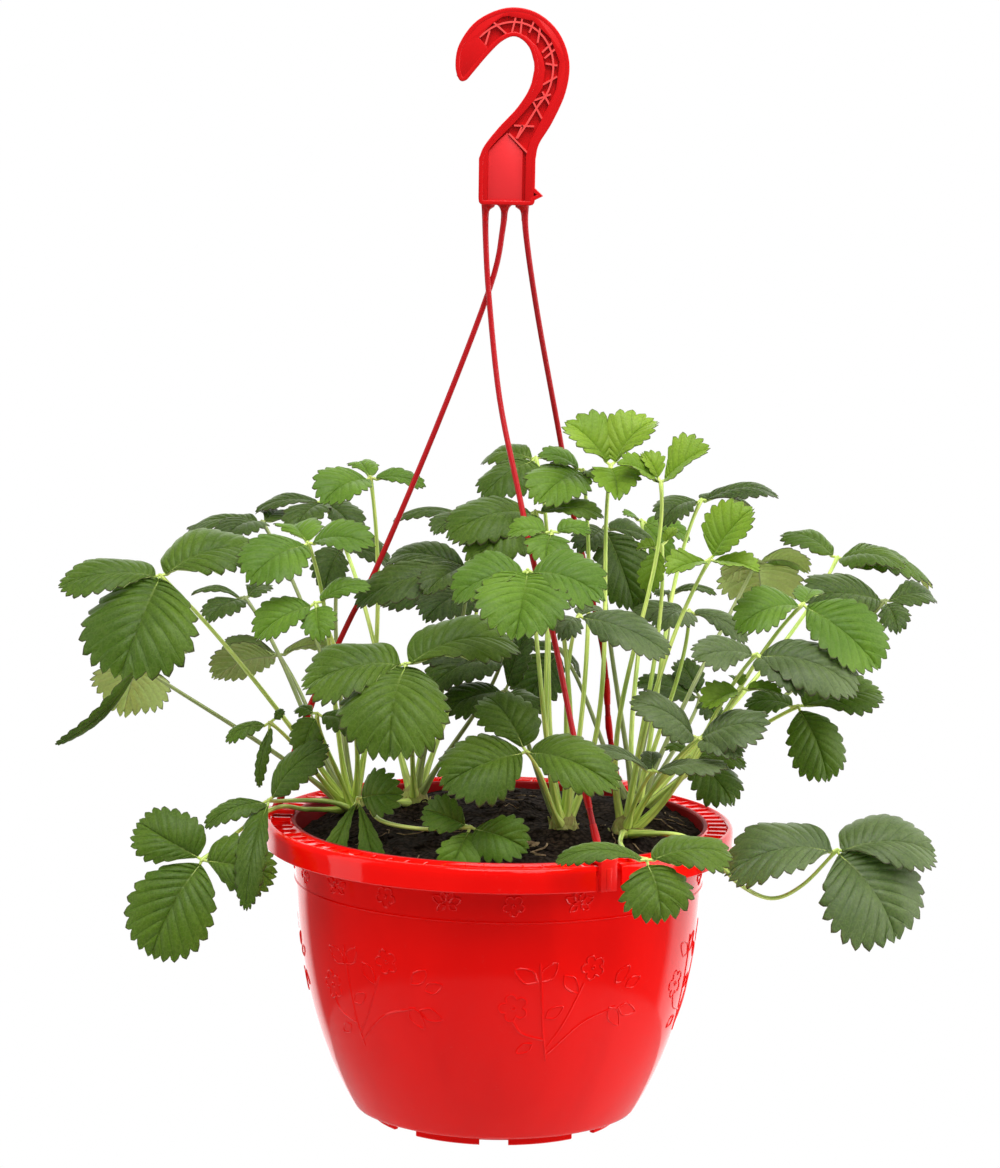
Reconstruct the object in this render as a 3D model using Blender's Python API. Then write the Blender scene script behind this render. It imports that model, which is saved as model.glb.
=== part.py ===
"""Strawberry plant in a hanging pot: a turned plastic pot, a moulded three-arm hanger, a root
ball of soil, five crowns and their three-leaflet leaves. Metres, +Z up, the front towards -Y.
Sizes are given from the middle of the pot's foot; the finished parts are moved so that the
hanging point, inside the top of the hook, is the origin."""
import math

import bmesh
import bpy
from mathutils import Matrix, Vector
from mathutils.bvhtree import BVHTree

MM = 0.001
CM = 0.01
GAP = 0.3 * MM

# The hanging point, millimetres from the middle of the pot's foot.
HANGING_POINT = (1.0, 0.0, 574.0)

# ---------------------------------------------------------------- pot, millimetres
POT_HEIGHT = 160.0
RIM_RADIUS = 125.0
RIM_SKIRT_DEPTH = 13.0
RIM_THICKNESS = 1.8
WALL = 1.8
FLOOR_TOP = 9.8
FOOT_HEIGHT = 6.0
SEGMENTS = 40

# The outside of the wall below the rim: (radius, height).
WALL_PROFILE = ((76.5, FOOT_HEIGHT), (82, 16), (88.5, 30), (94.5, 46), (99.5, 63), (103.5, 82),
                (106.5, 104), (108.3, 127))
BAND_HEIGHT = 128.4
BAND_RAISE = 0.7
NECK_RADIUS = 110.5

FOOT_RADIUS = 67.0
FOOT_WALL = 3.2
FEET_GAP_AZIMUTHS = (45, 135, 225, 315)
FOOT_GAP_WIDTH = 17.0
FOOT_NOTCH_AZIMUTHS = (0, 90, 180, 270)
FOOT_NOTCH_WIDTH = 15.0
DRAIN_RING = 38.0
DRAIN_RADIUS = 4.0
DRAINS = 5

# ---------------------------------------------------------------- hanger, millimetres
CLIP_AZIMUTHS = (26.6, 146.6, 266.6)
CLIP_WIDTH = 9.4
CLIP_SLOT_WIDTH = 15.0
CLIP_SLOT_RADIUS = 121.0
ROD_RADIUS = 1.5
ROD_END_RADIUS = 119.5
HOOK_HALF_DEPTH = 6.0
HOOK_RIM = 2.4
HOOK_RECESS = 3.6
GRIP_BOTTOM = 487.0

# The hook and its grip, seen from the front: (across, up).
HOOK_OUTLINE = ((-16.8, GRIP_BOTTOM), (-17, 511), (-14.3, 517.5), (-7, 527), (2.5, 537.5), (8.8, 548),
                (10.9, 559), (7.8, 569), (1, 574), (-6, 571.5), (-13.5, 564), (-20.5, 555.5),
                (-24.5, 551), (-28, 551.5), (-30, 559), (-28, 570), (-19, 582), (-4, 588.7),
                (11, 586.8), (23, 577), (29, 562), (27.5, 546), (20.7, 530), (14.2, 519), (12.5, 511),
                (12.5, 496), (16.8, 492), (12.5, 489.5), (12.5, GRIP_BOTTOM))

# Each arm leaves the grip and spreads to its clip on the rim.
ROD_ROUTES = (
    ((-13.2, 0, 490), (-12.8, 0, 470), (-10.5, -4, 439), (-4, -15, 387), (6.5, -31, 341),
     (16.5, -48, 300), (26, -63, 269), (37, -80, 221), (49, -99, 172)),
    ((7.3, 0, 490), (8.5, 1, 470), (15.8, 14.5, 426), (29, 37, 360), (35, 47, 327),
     (55, 81, 242), (60, 90, 195)),
    ((-3.2, 0, 490), (-4, 0, 474), (-11.5, 0.5, 443), (-40, 2, 369), (-70, 4, 293),
     (-83.5, 5, 264), (-104, 6, 214)),
)

# ---------------------------------------------------------------- plant
SOIL_EDGE = 150.0
SOIL_MOUND = 12.0
CROWN_RADIUS = 10.5
CROWN_DEPTH = 9.0
CROWN_RISE = 13.0

# The places of the crowns on the soil, centimetres across and back.
CROWNS = {
    "crown_left": (-8.0, 4.0),
    "crown_centre": (-4.6, 2.6),
    "crown_front": (3.4, -2.8),
    "crown_right": (6.6, -2.4),
    "crown_back": (7.4, 3.8),
}

PETIOLE_RADIUS = 1.1
KNOT_SWELL = 1.5
PETIOLULE = 3.5
BLADE_THICKNESS = (1.2, 1.1, 1.0)
# Half widths of a blade along its length, as shares of its full width.
BLADE_STATIONS = ((0.0, 0.04), (0.42, 0.49), (0.80, 0.42), (1.0, 0.15))
SMALL_BLADE_STATIONS = ((0.0, 0.04), (0.55, 0.5), (1.0, 0.2))
SMALL_BLADE = 18.0
BLADE_ARCH = 0.10
FOLD_DEGREES = 14.0
STALK_SPREAD = 0.42

LEAF_COLOURS = {
    "young": (0.23, 0.42, 0.04),
    "mature": (0.07, 0.20, 0.03),
    "dark": (0.04, 0.11, 0.03),
}

# The way a leaf's upper side looks: most lean to the front, some face it, and a few turn their
# backs to it.
OPEN = (0, -0.5, 0.87)
BOWED = (0, -0.75, 0.66)
LEVEL = (0, -0.25, 0.97)
FRONT = (0, -0.9, 0.45)
AWAY = (0.1, 0.7, 0.7)

# Every leaf: its crown, age and facing, the point where its leaflets meet, then the reach of its
# end leaflet and its two side leaflets from there, each with the width of its blade as a share of
# its length. Centimetres. Points after that are what its stalk passes on its way.
L, C, F, R, B = tuple(CROWNS)
LEAVES = (
    (L, "mature", OPEN, (-18, -2, 29.1), (-1.7, -3.6, -4.6, 1.0), (-5, -1, -0.5, 0.6),
     (4.8, 1.4, 1.2, 0.85)),
    (L, "mature", AWAY, (-19.7, 5, 23.1), (-1.2, 3.6, -3, 0.9), (-4.4, -0.5, -4.2, 0.3),
     (1.9, 2.8, 0.2, 0.8)),
    (L, "young", OPEN, (-7.2, 2, 34), (-2.4, -2.4, -1.1, 0.9), (-0.9, 2.4, 0.5, 0.6),
     (2.9, -0.5, -0.3, 0.5)),
    (C, "dark", LEVEL, (-10.2, 12, 31.5), (-3.3, 0, -0.5, 0.5), (-1.3, -2.5, -1.3, 0.7),
     (1.8, -2, -1.5, 0.7)),
    (L, "dark", LEVEL, (-13.5, 11, 30.4), (-3.7, 1, -0.5, 0.6), (-1.8, -2.6, -0.6, 0.7),
     (0.9, 2.2, 0.2, 0.8)),
    (L, "mature", OPEN, (-10.3, -1.6, 30.9), (-2.9, -2.6, -1.6, 0.95), (3.4, -1.5, 0.2, 0.8),
     (-1, 3, 0.5, 0.8)),
    (L, "dark", OPEN, (-8.8, 5, 29.9), (2.4, 0, -0.9, 0.6), (-0.7, -1.8, -1.8, 0.8),
     (1.9, 1.3, 0.1, 0.5)),
    (L, "young", OPEN, (-9.8, -3.5, 28), (-3, -1, -1.7, 0.8), (2.8, 0, 1, 0.6),
     (0.4, -1.6, -1.7, 0.9)),
    (L, "dark", LEVEL, (-14.3, 9, 26.4), (-2.6, 0, 0.2, 0.3), (-1.7, -1.7, -0.9, 0.8),
     (1, 1.6, 0.4, 0.8)),
    (L, "dark", AWAY, (-12.5, 10.5, 23), (-3.3, 1.5, -1.4, 0.7), (-2.8, 2.8, 0, 0.35),
     (2.9, 1.2, 0.2, 0.4)),
    (C, "mature", OPEN, (-5, -6, 25.3), (-0.6, -4, -4, 1.0), (-5, -1, -1.1, 0.9),
     (5.6, 1, 0.9, 0.7)),
    (L, "mature", OPEN, (-9.7, -2, 21.9), (2.1, -1, -0.7, 0.8), (-0.7, -1, -2, 0.9),
     (-1.1, 1, 0.1, 0.8)),
    (L, "mature", OPEN, (-12.1, -4, 17.6), (2.9, 0, 2.4, 0.7), (-0.9, -1, -4.9, 0.3),
     (-3.1, -1, -1.2, 0.45)),
    (L, "young", OPEN, (-12.2, -1.6, 21.3), (-2.2, -0.5, -0.9, 0.5), (-1.2, -0.8, -1.7, 0.4),
     (0.6, 0.6, 0.6, 0.7)),
    (L, "mature", FRONT, (-15.4, -6, 14.8), (-2.4, -1.5, -4.6, 0.85), (-3.3, 1, 1.7, 0.9),
     (3.7, -1, -0.6, 0.9), (-12.1, -3.1, 16.9)),
    (L, "mature", FRONT, (-7.4, -5, 18), (-0.6, -1.2, -2.1, 0.5), (1.1, -1.4, -2.2, 0.5),
     (2.2, -1.3, 1.4, 0.9)),
    (C, "mature", FRONT, (-1.5, -8, 17.2), (-2.3, 1, 0.7, 0.75), (-0.8, -1.5, -1.9, 0.95),
     (2.8, -1, -0.9, 0.85)),
    (F, "mature", BOWED, (1.3, -8, 21.2), (-4.1, -1.5, -1.5, 0.9), (4.4, -3.2, -1, 0.6),
     (-2, 1.5, 2.5, 0.9)),
    (F, "dark", OPEN, (0.2, -1.8, 23.3), (-2.8, -1, -0.8, 0.8), (1, 0.5, 2.8, 0.5),
     (1.4, -1.6, -0.9, 0.8)),
    (F, "mature", OPEN, (1.2, -8.5, 30.6), (-0.6, -3.5, -2.9, 1.1), (-3.7, -1, -1.3, 0.9),
     (3.8, -1, -1.2, 1.0)),
    (F, "mature", OPEN, (2.4, -5.4, 32.2), (-0.2, -2.4, -0.3, 0.95), (-2, -0.4, 0.2, 0.8),
     (1.5, 0.3, 0.3, 0.8)),
    (F, "dark", OPEN, (1.6, -1, 32.7), (-4.4, -1.5, -1.1, 0.75), (-3.2, -2.5, -2.3, 0.7),
     (3.4, -0.5, 0, 0.5)),
    (F, "dark", OPEN, (1.6, 3, 35.1), (-2.6, 2, -0.3, 0.7), (-2.7, -1.5, -1.8, 0.85),
     (1.5, 0.2, 0.4, 0.7)),
    (F, "mature", OPEN, (4.1, 1, 34.7), (-2.4, -3, -1.3, 0.9), (-2.3, -0.6, 0.9, 0.7),
     (0.8, -1.5, -0.2, 0.8)),
    (C, "dark", OPEN, (-1.9, 0, 29.6), (-3.8, 2, 0, 0.5), (-5.2, -1, -1.6, 0.5),
     (-1.9, -2.6, -0.9, 0.7)),
    (C, "dark", OPEN, (-1.4, 8, 27.2), (-4.7, -1, -0.7, 0.6), (-2.5, -3, -1, 0.7),
     (2.3, 0, -0.5, 0.7)),
    (C, "dark", OPEN, (0, -1, 24.9), (-4.2, 0, 0, 0.5), (-3.5, -1.5, -1.4, 0.6),
     (0.8, 0.9, -0.9, 0.8)),
    (C, "dark", LEVEL, (-2, 12, 30.8), (-3.7, -0.5, -0.1, 0.35), (-1.6, -2.6, -0.5, 0.6),
     (1.9, 1.5, 0.5, 0.6)),
    (B, "dark", OPEN, (3.2, 8, 24), (-1.6, -1, -2.8, 0.85), (-2, 0.6, -0.2, 0.5),
     (1, 0.8, -1.4, 0.6)),
    (F, "young", OPEN, (5.5, -1, 35.2), (0.9, -1.2, -3, 0.6), (-2, 0.5, 2.4, 1.1),
     (1.8, 0.5, 2.6, 0.9)),
    (R, "young", OPEN, (8.1, -2.2, 34.5), (-0.9, 0.5, 1.5, 0.8), (1.8, -0.5, 1.6, 0.85),
     (-2.2, -0.8, 1.1, 0.8)),
    (B, "dark", LEVEL, (10.8, 9, 32.3), (3.7, 0, 0.4, 0.55), (-2, -2, -0.9, 0.8),
     (2.3, 2.5, -0.6, 0.5)),
    (R, "young", OPEN, (10.7, -3, 30.6), (2.1, 0, 2.7, 0.95), (2.5, -1, -0.4, 0.6),
     (-2.2, -0.8, -0.7, 0.85)),
    (R, "young", OPEN, (8.3, -0.2, 30.9), (-0.7, -0.5, -2.4, 0.6), (-1.3, 0, -0.2, 0.8),
     (0.8, 0.5, 0.9, 0.6)),
    (B, "dark", OPEN, (5.4, 5, 31.2), (1.5, -1.5, -3.7, 0.7), (-1.2, -2, -0.9, 0.8),
     (2.5, 1, -1, 0.6)),
    (F, "dark", OPEN, (3.9, -4.2, 27.7), (4.5, -1, -1.6, 0.6), (-0.9, -2, -0.8, 0.8),
     (0.9, 2, 0.2, 0.6)),
    (B, "dark", LEVEL, (9.2, 10, 27), (-2, 0, -0.1, 0.5), (2.3, 0, 0, 0.5), (-0.6, -1.6, 0.1, 0.5)),
    (B, "dark", OPEN, (10, 3, 27), (-2.9, 0, -0.1, 0.6), (3, -0.5, -1.4, 0.5),
     (-1.7, -2.6, -0.5, 0.7)),
    (B, "mature", AWAY, (14.2, 12, 28.6), (1, 3.4, -2.3, 1.1), (-1.6, 2, -1.4, 0.7),
     (3, 1.5, -0.7, 0.7)),
    (B, "mature", LEVEL, (18.5, 10, 29.1), (-2.8, 1.5, 1, 0.6), (3.4, -1.5, -0.2, 0.55),
     (5.2, 2.5, -1.7, 0.6)),
    (B, "dark", OPEN, (20.6, 4, 27.6), (-3.9, -1, 0.2, 0.95), (2.5, 1.5, 0, 0.7),
     (0.5, -1.8, -1.2, 0.8)),
    (R, "mature", OPEN, (15.7, -2, 28.2), (3.9, -1.5, -3, 0.9), (-3.5, -1.5, -1.1, 0.85),
     (0.7, 2.6, 0.4, 0.6)),
    (R, "dark", OPEN, (13.2, -4, 25.8), (5, -1, -1.5, 0.75), (-3.2, -1.5, 0, 0.85),
     (2.2, -2, -1.6, 0.6)),
    (R, "young", OPEN, (12.5, -4, 24), (-2, -1, -0.9, 0.8), (2, -1, -0.1, 0.4),
     (-0.3, 1.3, 0.4, 0.7)),
    (B, "mature", OPEN, (15.7, -1, 22.6), (1.5, -1.5, -3.6, 0.95), (4.3, 0.5, 0.7, 0.8),
     (-2.7, 0, 0, 0.8)),
    (R, "mature", OPEN, (10.2, -5, 21.5), (3.4, -1, 1, 0.95), (-3.3, -0.5, 1.9, 0.7),
     (2.1, -1.5, -0.6, 0.7)),
    (R, "mature", AWAY, (7.9, -5.5, 19.8), (3.6, -0.8, 0.4, 0.55), (-3.9, -1, 0.9, 0.5),
     (0, 2.2, 0.6, 0.5)),
    (R, "mature", OPEN, (10, -1, 19.8), (2.2, -1.5, -2.1, 0.9), (2.9, 0, -0.3, 0.6),
     (-1.1, 1, 0.4, 0.7)),
    (R, "mature", OPEN, (7.4, -12.9, 16.7), (0.7, -1.5, -2.6, 1.1), (3.9, 0, 0.4, 0.6),
     (-4.4, -0.5, 0, 0.35), (7.1, -8.5, 17)),
    (R, "mature", OPEN, (17.6, -5, 15.7), (-5.8, -1.2, -1.2, 0.8), (5, 1, -0.2, 0.9),
     (2.8, -1.5, -4.3, 1.0), (11, -5.6, 16.8), (15, -5.8, 13.8)),
    (B, "dark", OPEN, (11.1, 10.5, 21), (-1, 1, 1.7, 0.8), (-3.1, 0, 0.7, 0.6),
     (0.9, -1, -1.1, 0.8)),
    (B, "dark", OPEN, (7.7, 13, 30.6), (-1, -1, 0.5, 0.7), (2.7, 0, -1, 0.6),
     (1.4, -1.5, -2, 0.7)),
)


# ---------------------------------------------------------------- helpers
def clear_scene():
    for obj in list(bpy.data.objects):
        bpy.data.objects.remove(obj, do_unlink=True)


def material(name, colour, roughness):
    """A Principled material of one colour."""
    made = bpy.data.materials.new(name)
    made.use_nodes = True
    shader = made.node_tree.nodes["Principled BSDF"]
    shader.inputs["Base Color"].default_value = (*colour, 1.0)
    shader.inputs["Roughness"].default_value = roughness
    made.diffuse_color = (*colour, 1.0)
    return made


def add_object(name, mesh, finish=None):
    obj = bpy.data.objects.new(name, mesh)
    bpy.context.collection.objects.link(obj)
    if finish:
        mesh.materials.append(finish)
    return obj


def place_origin():
    """Moves every part so that the hanging point is the origin."""
    shift = Matrix.Translation(-Vector(HANGING_POINT) * MM)
    for obj in bpy.data.objects:
        obj.data.transform(shift)
        obj.data.update()


def mesh_from(bm, name):
    bmesh.ops.recalc_face_normals(bm, faces=bm.faces)
    mesh = bpy.data.meshes.new(name)
    bm.to_mesh(mesh)
    bm.free()
    return mesh


def polar(radius, azimuth, height):
    """A point at an azimuth in degrees, counted from the front (-Y) towards +X."""
    angle = math.radians(azimuth)
    return Vector((radius * math.sin(angle), -radius * math.cos(angle), height))


def turned(profile, segments):
    """A closed ring of the profile's (radius, height) loop, in millimetres, about the Z axis.
    Points at radius 0 become one vertex."""
    bm = bmesh.new()
    rings = []
    for radius, height in profile:
        if radius == 0:
            rings.append([bm.verts.new((0, 0, height * MM))])
            continue
        ring = [bm.verts.new(polar(radius, 360 * i / segments, height) * MM) for i in range(segments)]
        rings.append(ring)
    closed = profile[0][0] != 0
    pairs = list(zip(rings, rings[1:] + rings[:1])) if closed else list(zip(rings, rings[1:]))
    for first, second in pairs:
        for i in range(segments):
            j = (i + 1) % segments
            corners = [first[i % len(first)], first[j % len(first)], second[j % len(second)],
                       second[i % len(second)]]
            face = [corner for k, corner in enumerate(corners) if corner is not corners[k - 1]]
            if len(face) > 2:
                bm.faces.new(face)
    return bm


def smooth_points(points, steps):
    """Points on a Catmull-Rom curve through the given ones, with so many steps a span."""
    points = [Vector(p) for p in points]
    ends = [2 * points[0] - points[1], *points, 2 * points[-1] - points[-2]]
    out = []
    for p0, p1, p2, p3 in zip(ends, ends[1:], ends[2:], ends[3:]):
        for k in range(steps):
            t = k / steps
            out.append(0.5 * (2 * p1 + (p2 - p0) * t + (2 * p0 - 5 * p1 + 4 * p2 - p3) * t ** 2
                              + (3 * p1 - p0 - 3 * p2 + p3) * t ** 3))
    return out + [points[-1]]


def bezier_points(a, b, c, d, steps):
    out = []
    for k in range(steps + 1):
        t = k / steps
        s = 1 - t
        out.append(s ** 3 * a + 3 * s ** 2 * t * b + 3 * s * t ** 2 * c + t ** 3 * d)
    return out


def tube(bm, path, radius, sides, knot=1.0):
    """A closed round bar along the path, added to the bmesh, swelling at its end into a knot."""
    tangents = [(path[min(i + 1, len(path) - 1)] - path[max(i - 1, 0)]).normalized()
                for i in range(len(path))]
    across = tangents[0].orthogonal().normalized()
    rings = []
    for index, (point, tangent) in enumerate(zip(path, tangents)):
        across = (across - tangent * across.dot(tangent)).normalized()
        up = tangent.cross(across)
        wide = radius * (knot if index >= len(path) - 2 else 1.0)
        angles = [2 * math.pi * i / sides for i in range(sides)]
        rings.append([bm.verts.new(point + wide * (math.cos(a) * across + math.sin(a) * up))
                      for a in angles])
    for first, second in zip(rings, rings[1:]):
        for i in range(sides):
            j = (i + 1) % sides
            bm.faces.new((first[i], first[j], second[j], second[i]))
    bm.faces.new(reversed(rings[0]))
    bm.faces.new(rings[-1])


def boolean(name, target, others, operation):
    """The target mesh joined with, or cut by, the other meshes, as one new mesh."""
    base = add_object(name + "_base", target)
    helpers = [add_object(f"{name}_tool_{i}", mesh) for i, mesh in enumerate(others)]
    for helper in helpers:
        step = base.modifiers.new("step", "BOOLEAN")
        step.operation = operation
        step.solver = "EXACT"
        step.object = helper
    bpy.context.view_layer.update()
    evaluated = base.evaluated_get(bpy.context.evaluated_depsgraph_get())
    result = bpy.data.meshes.new_from_object(evaluated)
    result.name = name
    for obj in [base, *helpers]:
        bpy.data.objects.remove(obj, do_unlink=True)
    return result


def block(azimuth, radii, width, heights):
    """A box in polar place: between two radii, across the azimuth, between two heights."""
    bm = bmesh.new()
    bmesh.ops.create_cube(bm, size=1.0)
    size = Vector((width, radii[1] - radii[0], heights[1] - heights[0])) * MM
    bmesh.ops.scale(bm, vec=size, verts=bm.verts)
    middle = Vector((0, -(radii[0] + radii[1]) / 2, (heights[0] + heights[1]) / 2)) * MM
    bmesh.ops.translate(bm, vec=middle, verts=bm.verts)
    bmesh.ops.rotate(bm, cent=(0, 0, 0), matrix=Matrix.Rotation(math.radians(azimuth), 3, "Z"),
                     verts=bm.verts)
    return mesh_from(bm, "block")


# ---------------------------------------------------------------- pot and soil
def inner_wall():
    """The inside of the wall, bottom to top, as (radius, height)."""
    lower = [(radius - WALL, height) for radius, height in WALL_PROFILE[1::2]]
    return [(WALL_PROFILE[0][0] - 2 * WALL, FLOOR_TOP), *lower, (NECK_RADIUS - WALL, POT_HEIGHT - 6)]


def pot_profile():
    """One loop round the pot's wall section: underside, outside, rim, inside."""
    top = POT_HEIGHT
    under = top - RIM_THICKNESS - 1.5
    skirt = top - RIM_SKIRT_DEPTH
    floor_under = FLOOR_TOP - WALL
    foot_inner = FOOT_RADIUS - FOOT_WALL
    outside = [(0, floor_under), (foot_inner, floor_under), (foot_inner, 0), (FOOT_RADIUS, 0),
               *WALL_PROFILE, (WALL_PROFILE[-1][0] + BAND_RAISE, BAND_HEIGHT),
               (WALL_PROFILE[-1][0] + 0.3, BAND_HEIGHT + 1), (NECK_RADIUS, skirt), (NECK_RADIUS, under)]
    rim = [(RIM_RADIUS - RIM_THICKNESS, under), (RIM_RADIUS - RIM_THICKNESS, skirt),
           (RIM_RADIUS, skirt), (RIM_RADIUS, top - 3), (RIM_RADIUS - 1.2, top - 0.5),
           (RIM_RADIUS - 2.6, top), (RIM_RADIUS - 3.6, top - 1.5), (NECK_RADIUS + 1, top - 1.5),
           (NECK_RADIUS, top), (NECK_RADIUS - WALL, top)]
    inside = list(reversed(inner_wall()))
    return outside + rim + inside + [(0, FLOOR_TOP)]


def build_pot(finish):
    body = mesh_from(turned(pot_profile(), SEGMENTS), "pot")
    cutters = [block(azimuth, (CLIP_SLOT_RADIUS, RIM_RADIUS + 9), CLIP_SLOT_WIDTH,
                     (POT_HEIGHT - RIM_SKIRT_DEPTH - 8, POT_HEIGHT + 8)) for azimuth in CLIP_AZIMUTHS]
    cutters += [block(azimuth, (FOOT_RADIUS - 12, FOOT_RADIUS + 30), FOOT_GAP_WIDTH,
                      (-8, FOOT_HEIGHT - 0.8)) for azimuth in FEET_GAP_AZIMUTHS]
    cutters += [block(azimuth, (FOOT_RADIUS - 12, FOOT_RADIUS + 30), FOOT_NOTCH_WIDTH,
                      (-8, FOOT_HEIGHT / 2)) for azimuth in FOOT_NOTCH_AZIMUTHS]
    for index in range(DRAINS):
        drill = turned([(0, -8), (DRAIN_RADIUS, -8), (DRAIN_RADIUS, 30), (0, 30)], 10)
        bmesh.ops.translate(drill, vec=polar(DRAIN_RING, 36 + 360 * index / DRAINS, 0) * MM,
                            verts=drill.verts)
        cutters.append(mesh_from(drill, "drain"))
    return add_object("pot", boolean("pot", body, cutters, "DIFFERENCE"), finish)


def soil_height(x, y):
    """The height of the soil in millimetres: a low mound with a few soft lumps."""
    edge = min(1.0, math.hypot(x, y) / 104)
    mound = SOIL_MOUND * (1 - edge ** 2) * (1 + 0.25 * math.sin(y / 28 + 0.6))
    lumps = 1.6 * math.sin(x / 13 + 1.1) * math.cos(y / 17 - 0.4)
    return SOIL_EDGE + mound + lumps * (1 - edge ** 6)


def crown_profile(extra=0.0):
    """Half of a crown's section, from its foot in the soil to its top."""
    radius = CROWN_RADIUS + extra
    return [(0, -CROWN_DEPTH - extra), (radius * 0.7, -CROWN_DEPTH - extra), (radius, -2),
            (radius * 0.96, CROWN_RISE * 0.45), (radius * 0.6, CROWN_RISE * 0.9 + extra),
            (0, CROWN_RISE + extra)]


def crown_place(name):
    x, y = (10 * value for value in CROWNS[name])
    return Vector((x, y, soil_height(x, y)))


def crown_mesh(name, extra=0.0):
    bm = turned(crown_profile(extra), 10)
    bmesh.ops.translate(bm, vec=crown_place(name) * MM, verts=bm.verts)
    return mesh_from(bm, name)


def build_soil(finish):
    gap = GAP / MM + 0.17
    side = [(radius - gap, height) for radius, height in inner_wall()[:-1]]
    rim_radius = NECK_RADIUS - WALL - gap
    profile = [(0, FLOOR_TOP + gap), (side[0][0], FLOOR_TOP + gap), *side[1:],
               (rim_radius - 0.6, SOIL_EDGE), *[(share * rim_radius, SOIL_EDGE) for share in
                                               (0.9, 0.72, 0.5, 0.25)], (0, SOIL_EDGE)]
    bm = turned(profile, SEGMENTS)
    for vert in bm.verts:
        if vert.co.z > (SOIL_EDGE - 1) * MM and vert.co.xy.length < 0.97 * rim_radius * MM:
            vert.co.z = soil_height(vert.co.x / MM, vert.co.y / MM) * MM
    cutters = [crown_mesh(name, gap) for name in CROWNS]
    soil = boolean("soil", mesh_from(bm, "soil"), cutters, "DIFFERENCE")
    return add_object("soil", soil, finish)


# ---------------------------------------------------------------- hanger
def hook_mesh():
    """The flat moulding of hook and grip, recessed on both faces."""
    bm = bmesh.new()
    corners = [bm.verts.new((x * MM, -HOOK_HALF_DEPTH * MM, z * MM)) for x, z in HOOK_OUTLINE]
    face = bm.faces.new(corners)
    made = bmesh.ops.extrude_face_region(bm, geom=[face])
    back = [item for item in made["geom"] if isinstance(item, bmesh.types.BMVert)]
    bmesh.ops.translate(bm, vec=(0, 2 * HOOK_HALF_DEPTH * MM, 0), verts=back)
    bmesh.ops.recalc_face_normals(bm, faces=bm.faces)
    for flat in [f for f in bm.faces if abs(f.normal.y) > 0.9]:
        bmesh.ops.inset_region(bm, faces=[flat], thickness=HOOK_RIM * MM, depth=0,
                               use_even_offset=True)
        bmesh.ops.translate(bm, vec=-flat.normal * HOOK_RECESS * MM, verts=flat.verts)
    return mesh_from(bm, "hook")


def rod_mesh(route, azimuth):
    bm = bmesh.new()
    foot = polar(ROD_END_RADIUS, azimuth, POT_HEIGHT + 1.3)
    path = [point * MM for point in smooth_points([*route, foot], 2)]
    tube(bm, path, ROD_RADIUS * MM, 6)
    return mesh_from(bm, "rod")


def clip_meshes(azimuth):
    """A clip: a pad across the rim, a strap down its slot and a lip under the flange."""
    gap = GAP / MM
    under_flange = POT_HEIGHT - RIM_THICKNESS - 1.5
    strap_inner = CLIP_SLOT_RADIUS + gap
    pad = block(azimuth, (NECK_RADIUS - 1, RIM_RADIUS - 0.4), CLIP_WIDTH,
                (POT_HEIGHT + gap, POT_HEIGHT + 2.8))
    strap = block(azimuth, (strap_inner, RIM_RADIUS - 0.2), CLIP_WIDTH - 0.2,
                  (POT_HEIGHT - RIM_SKIRT_DEPTH - 0.6, POT_HEIGHT + 2.2))
    lip = block(azimuth, (strap_inner - 6, strap_inner + 1.5), CLIP_WIDTH - 0.6,
                (under_flange - 3, under_flange - gap))
    return [pad, strap, lip]


def build_hanger(finish):
    parts = []
    for route, azimuth in zip(ROD_ROUTES, CLIP_AZIMUTHS):
        parts += [rod_mesh(route, azimuth), *clip_meshes(azimuth)]
    return add_object("hanger", boolean("hanger", hook_mesh(), parts, "UNION"), finish)


# ---------------------------------------------------------------- leaves
def blade_section(middle, side, normal, half, thickness, folded):
    """The corners of one cross-section: across the upper side, then back along the lower."""
    fold = math.radians(FOLD_DEGREES) if folded else 0.0
    edge = half * math.cos(fold) * side
    rise = half * math.sin(fold) * normal
    points = [middle - edge + rise, middle + edge + rise]
    if folded:
        points.insert(1, middle)
    offset = normal * thickness / 2
    return [p + offset for p in points] + [p - offset for p in reversed(points)]


def leaflet_mesh(junction, reach, facing, thickness, width):
    """One leaflet: a short stalk, then an arched blade folded along its midrib."""
    bm = bmesh.new()
    along = reach.normalized()
    normal = (facing - along * facing.dot(along)).normalized()
    side = normal.cross(along)
    stalk = PETIOLULE * MM
    blade = reach.length - stalk
    shape = BLADE_STATIONS if blade > SMALL_BLADE * MM else SMALL_BLADE_STATIONS
    stations = [(0.75 * MM, 0.55 * MM)]
    stations += [(stalk + share * blade, half * width * blade + 0.3 * MM) for share, half in shape]
    rings = []
    for index, (distance, half) in enumerate(stations):
        share = max(0.0, (distance - stalk) / blade)
        lift = BLADE_ARCH * blade * 4 * share * (1 - share)
        middle = junction + along * distance + normal * lift
        section = blade_section(middle, side, normal, half, thickness, index > 1)
        rings.append([bm.verts.new(point) for point in section])
    bridge(bm, rings[0], rings[1])
    widen(bm, rings[1], rings[2])
    for first, second in zip(rings[2:], rings[3:]):
        bridge(bm, first, second)
    bm.faces.new(reversed(rings[0]))
    tip = rings[-1]
    bm.faces.new((tip[0], tip[1], tip[4], tip[5]))
    bm.faces.new((tip[1], tip[2], tip[3], tip[4]))
    return mesh_from(bm, "leaflet")


def bridge(bm, first, second):
    """Faces between two rings of the same count."""
    for i in range(len(first)):
        j = (i + 1) % len(first)
        bm.faces.new((first[i], first[j], second[j], second[i]))


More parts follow.
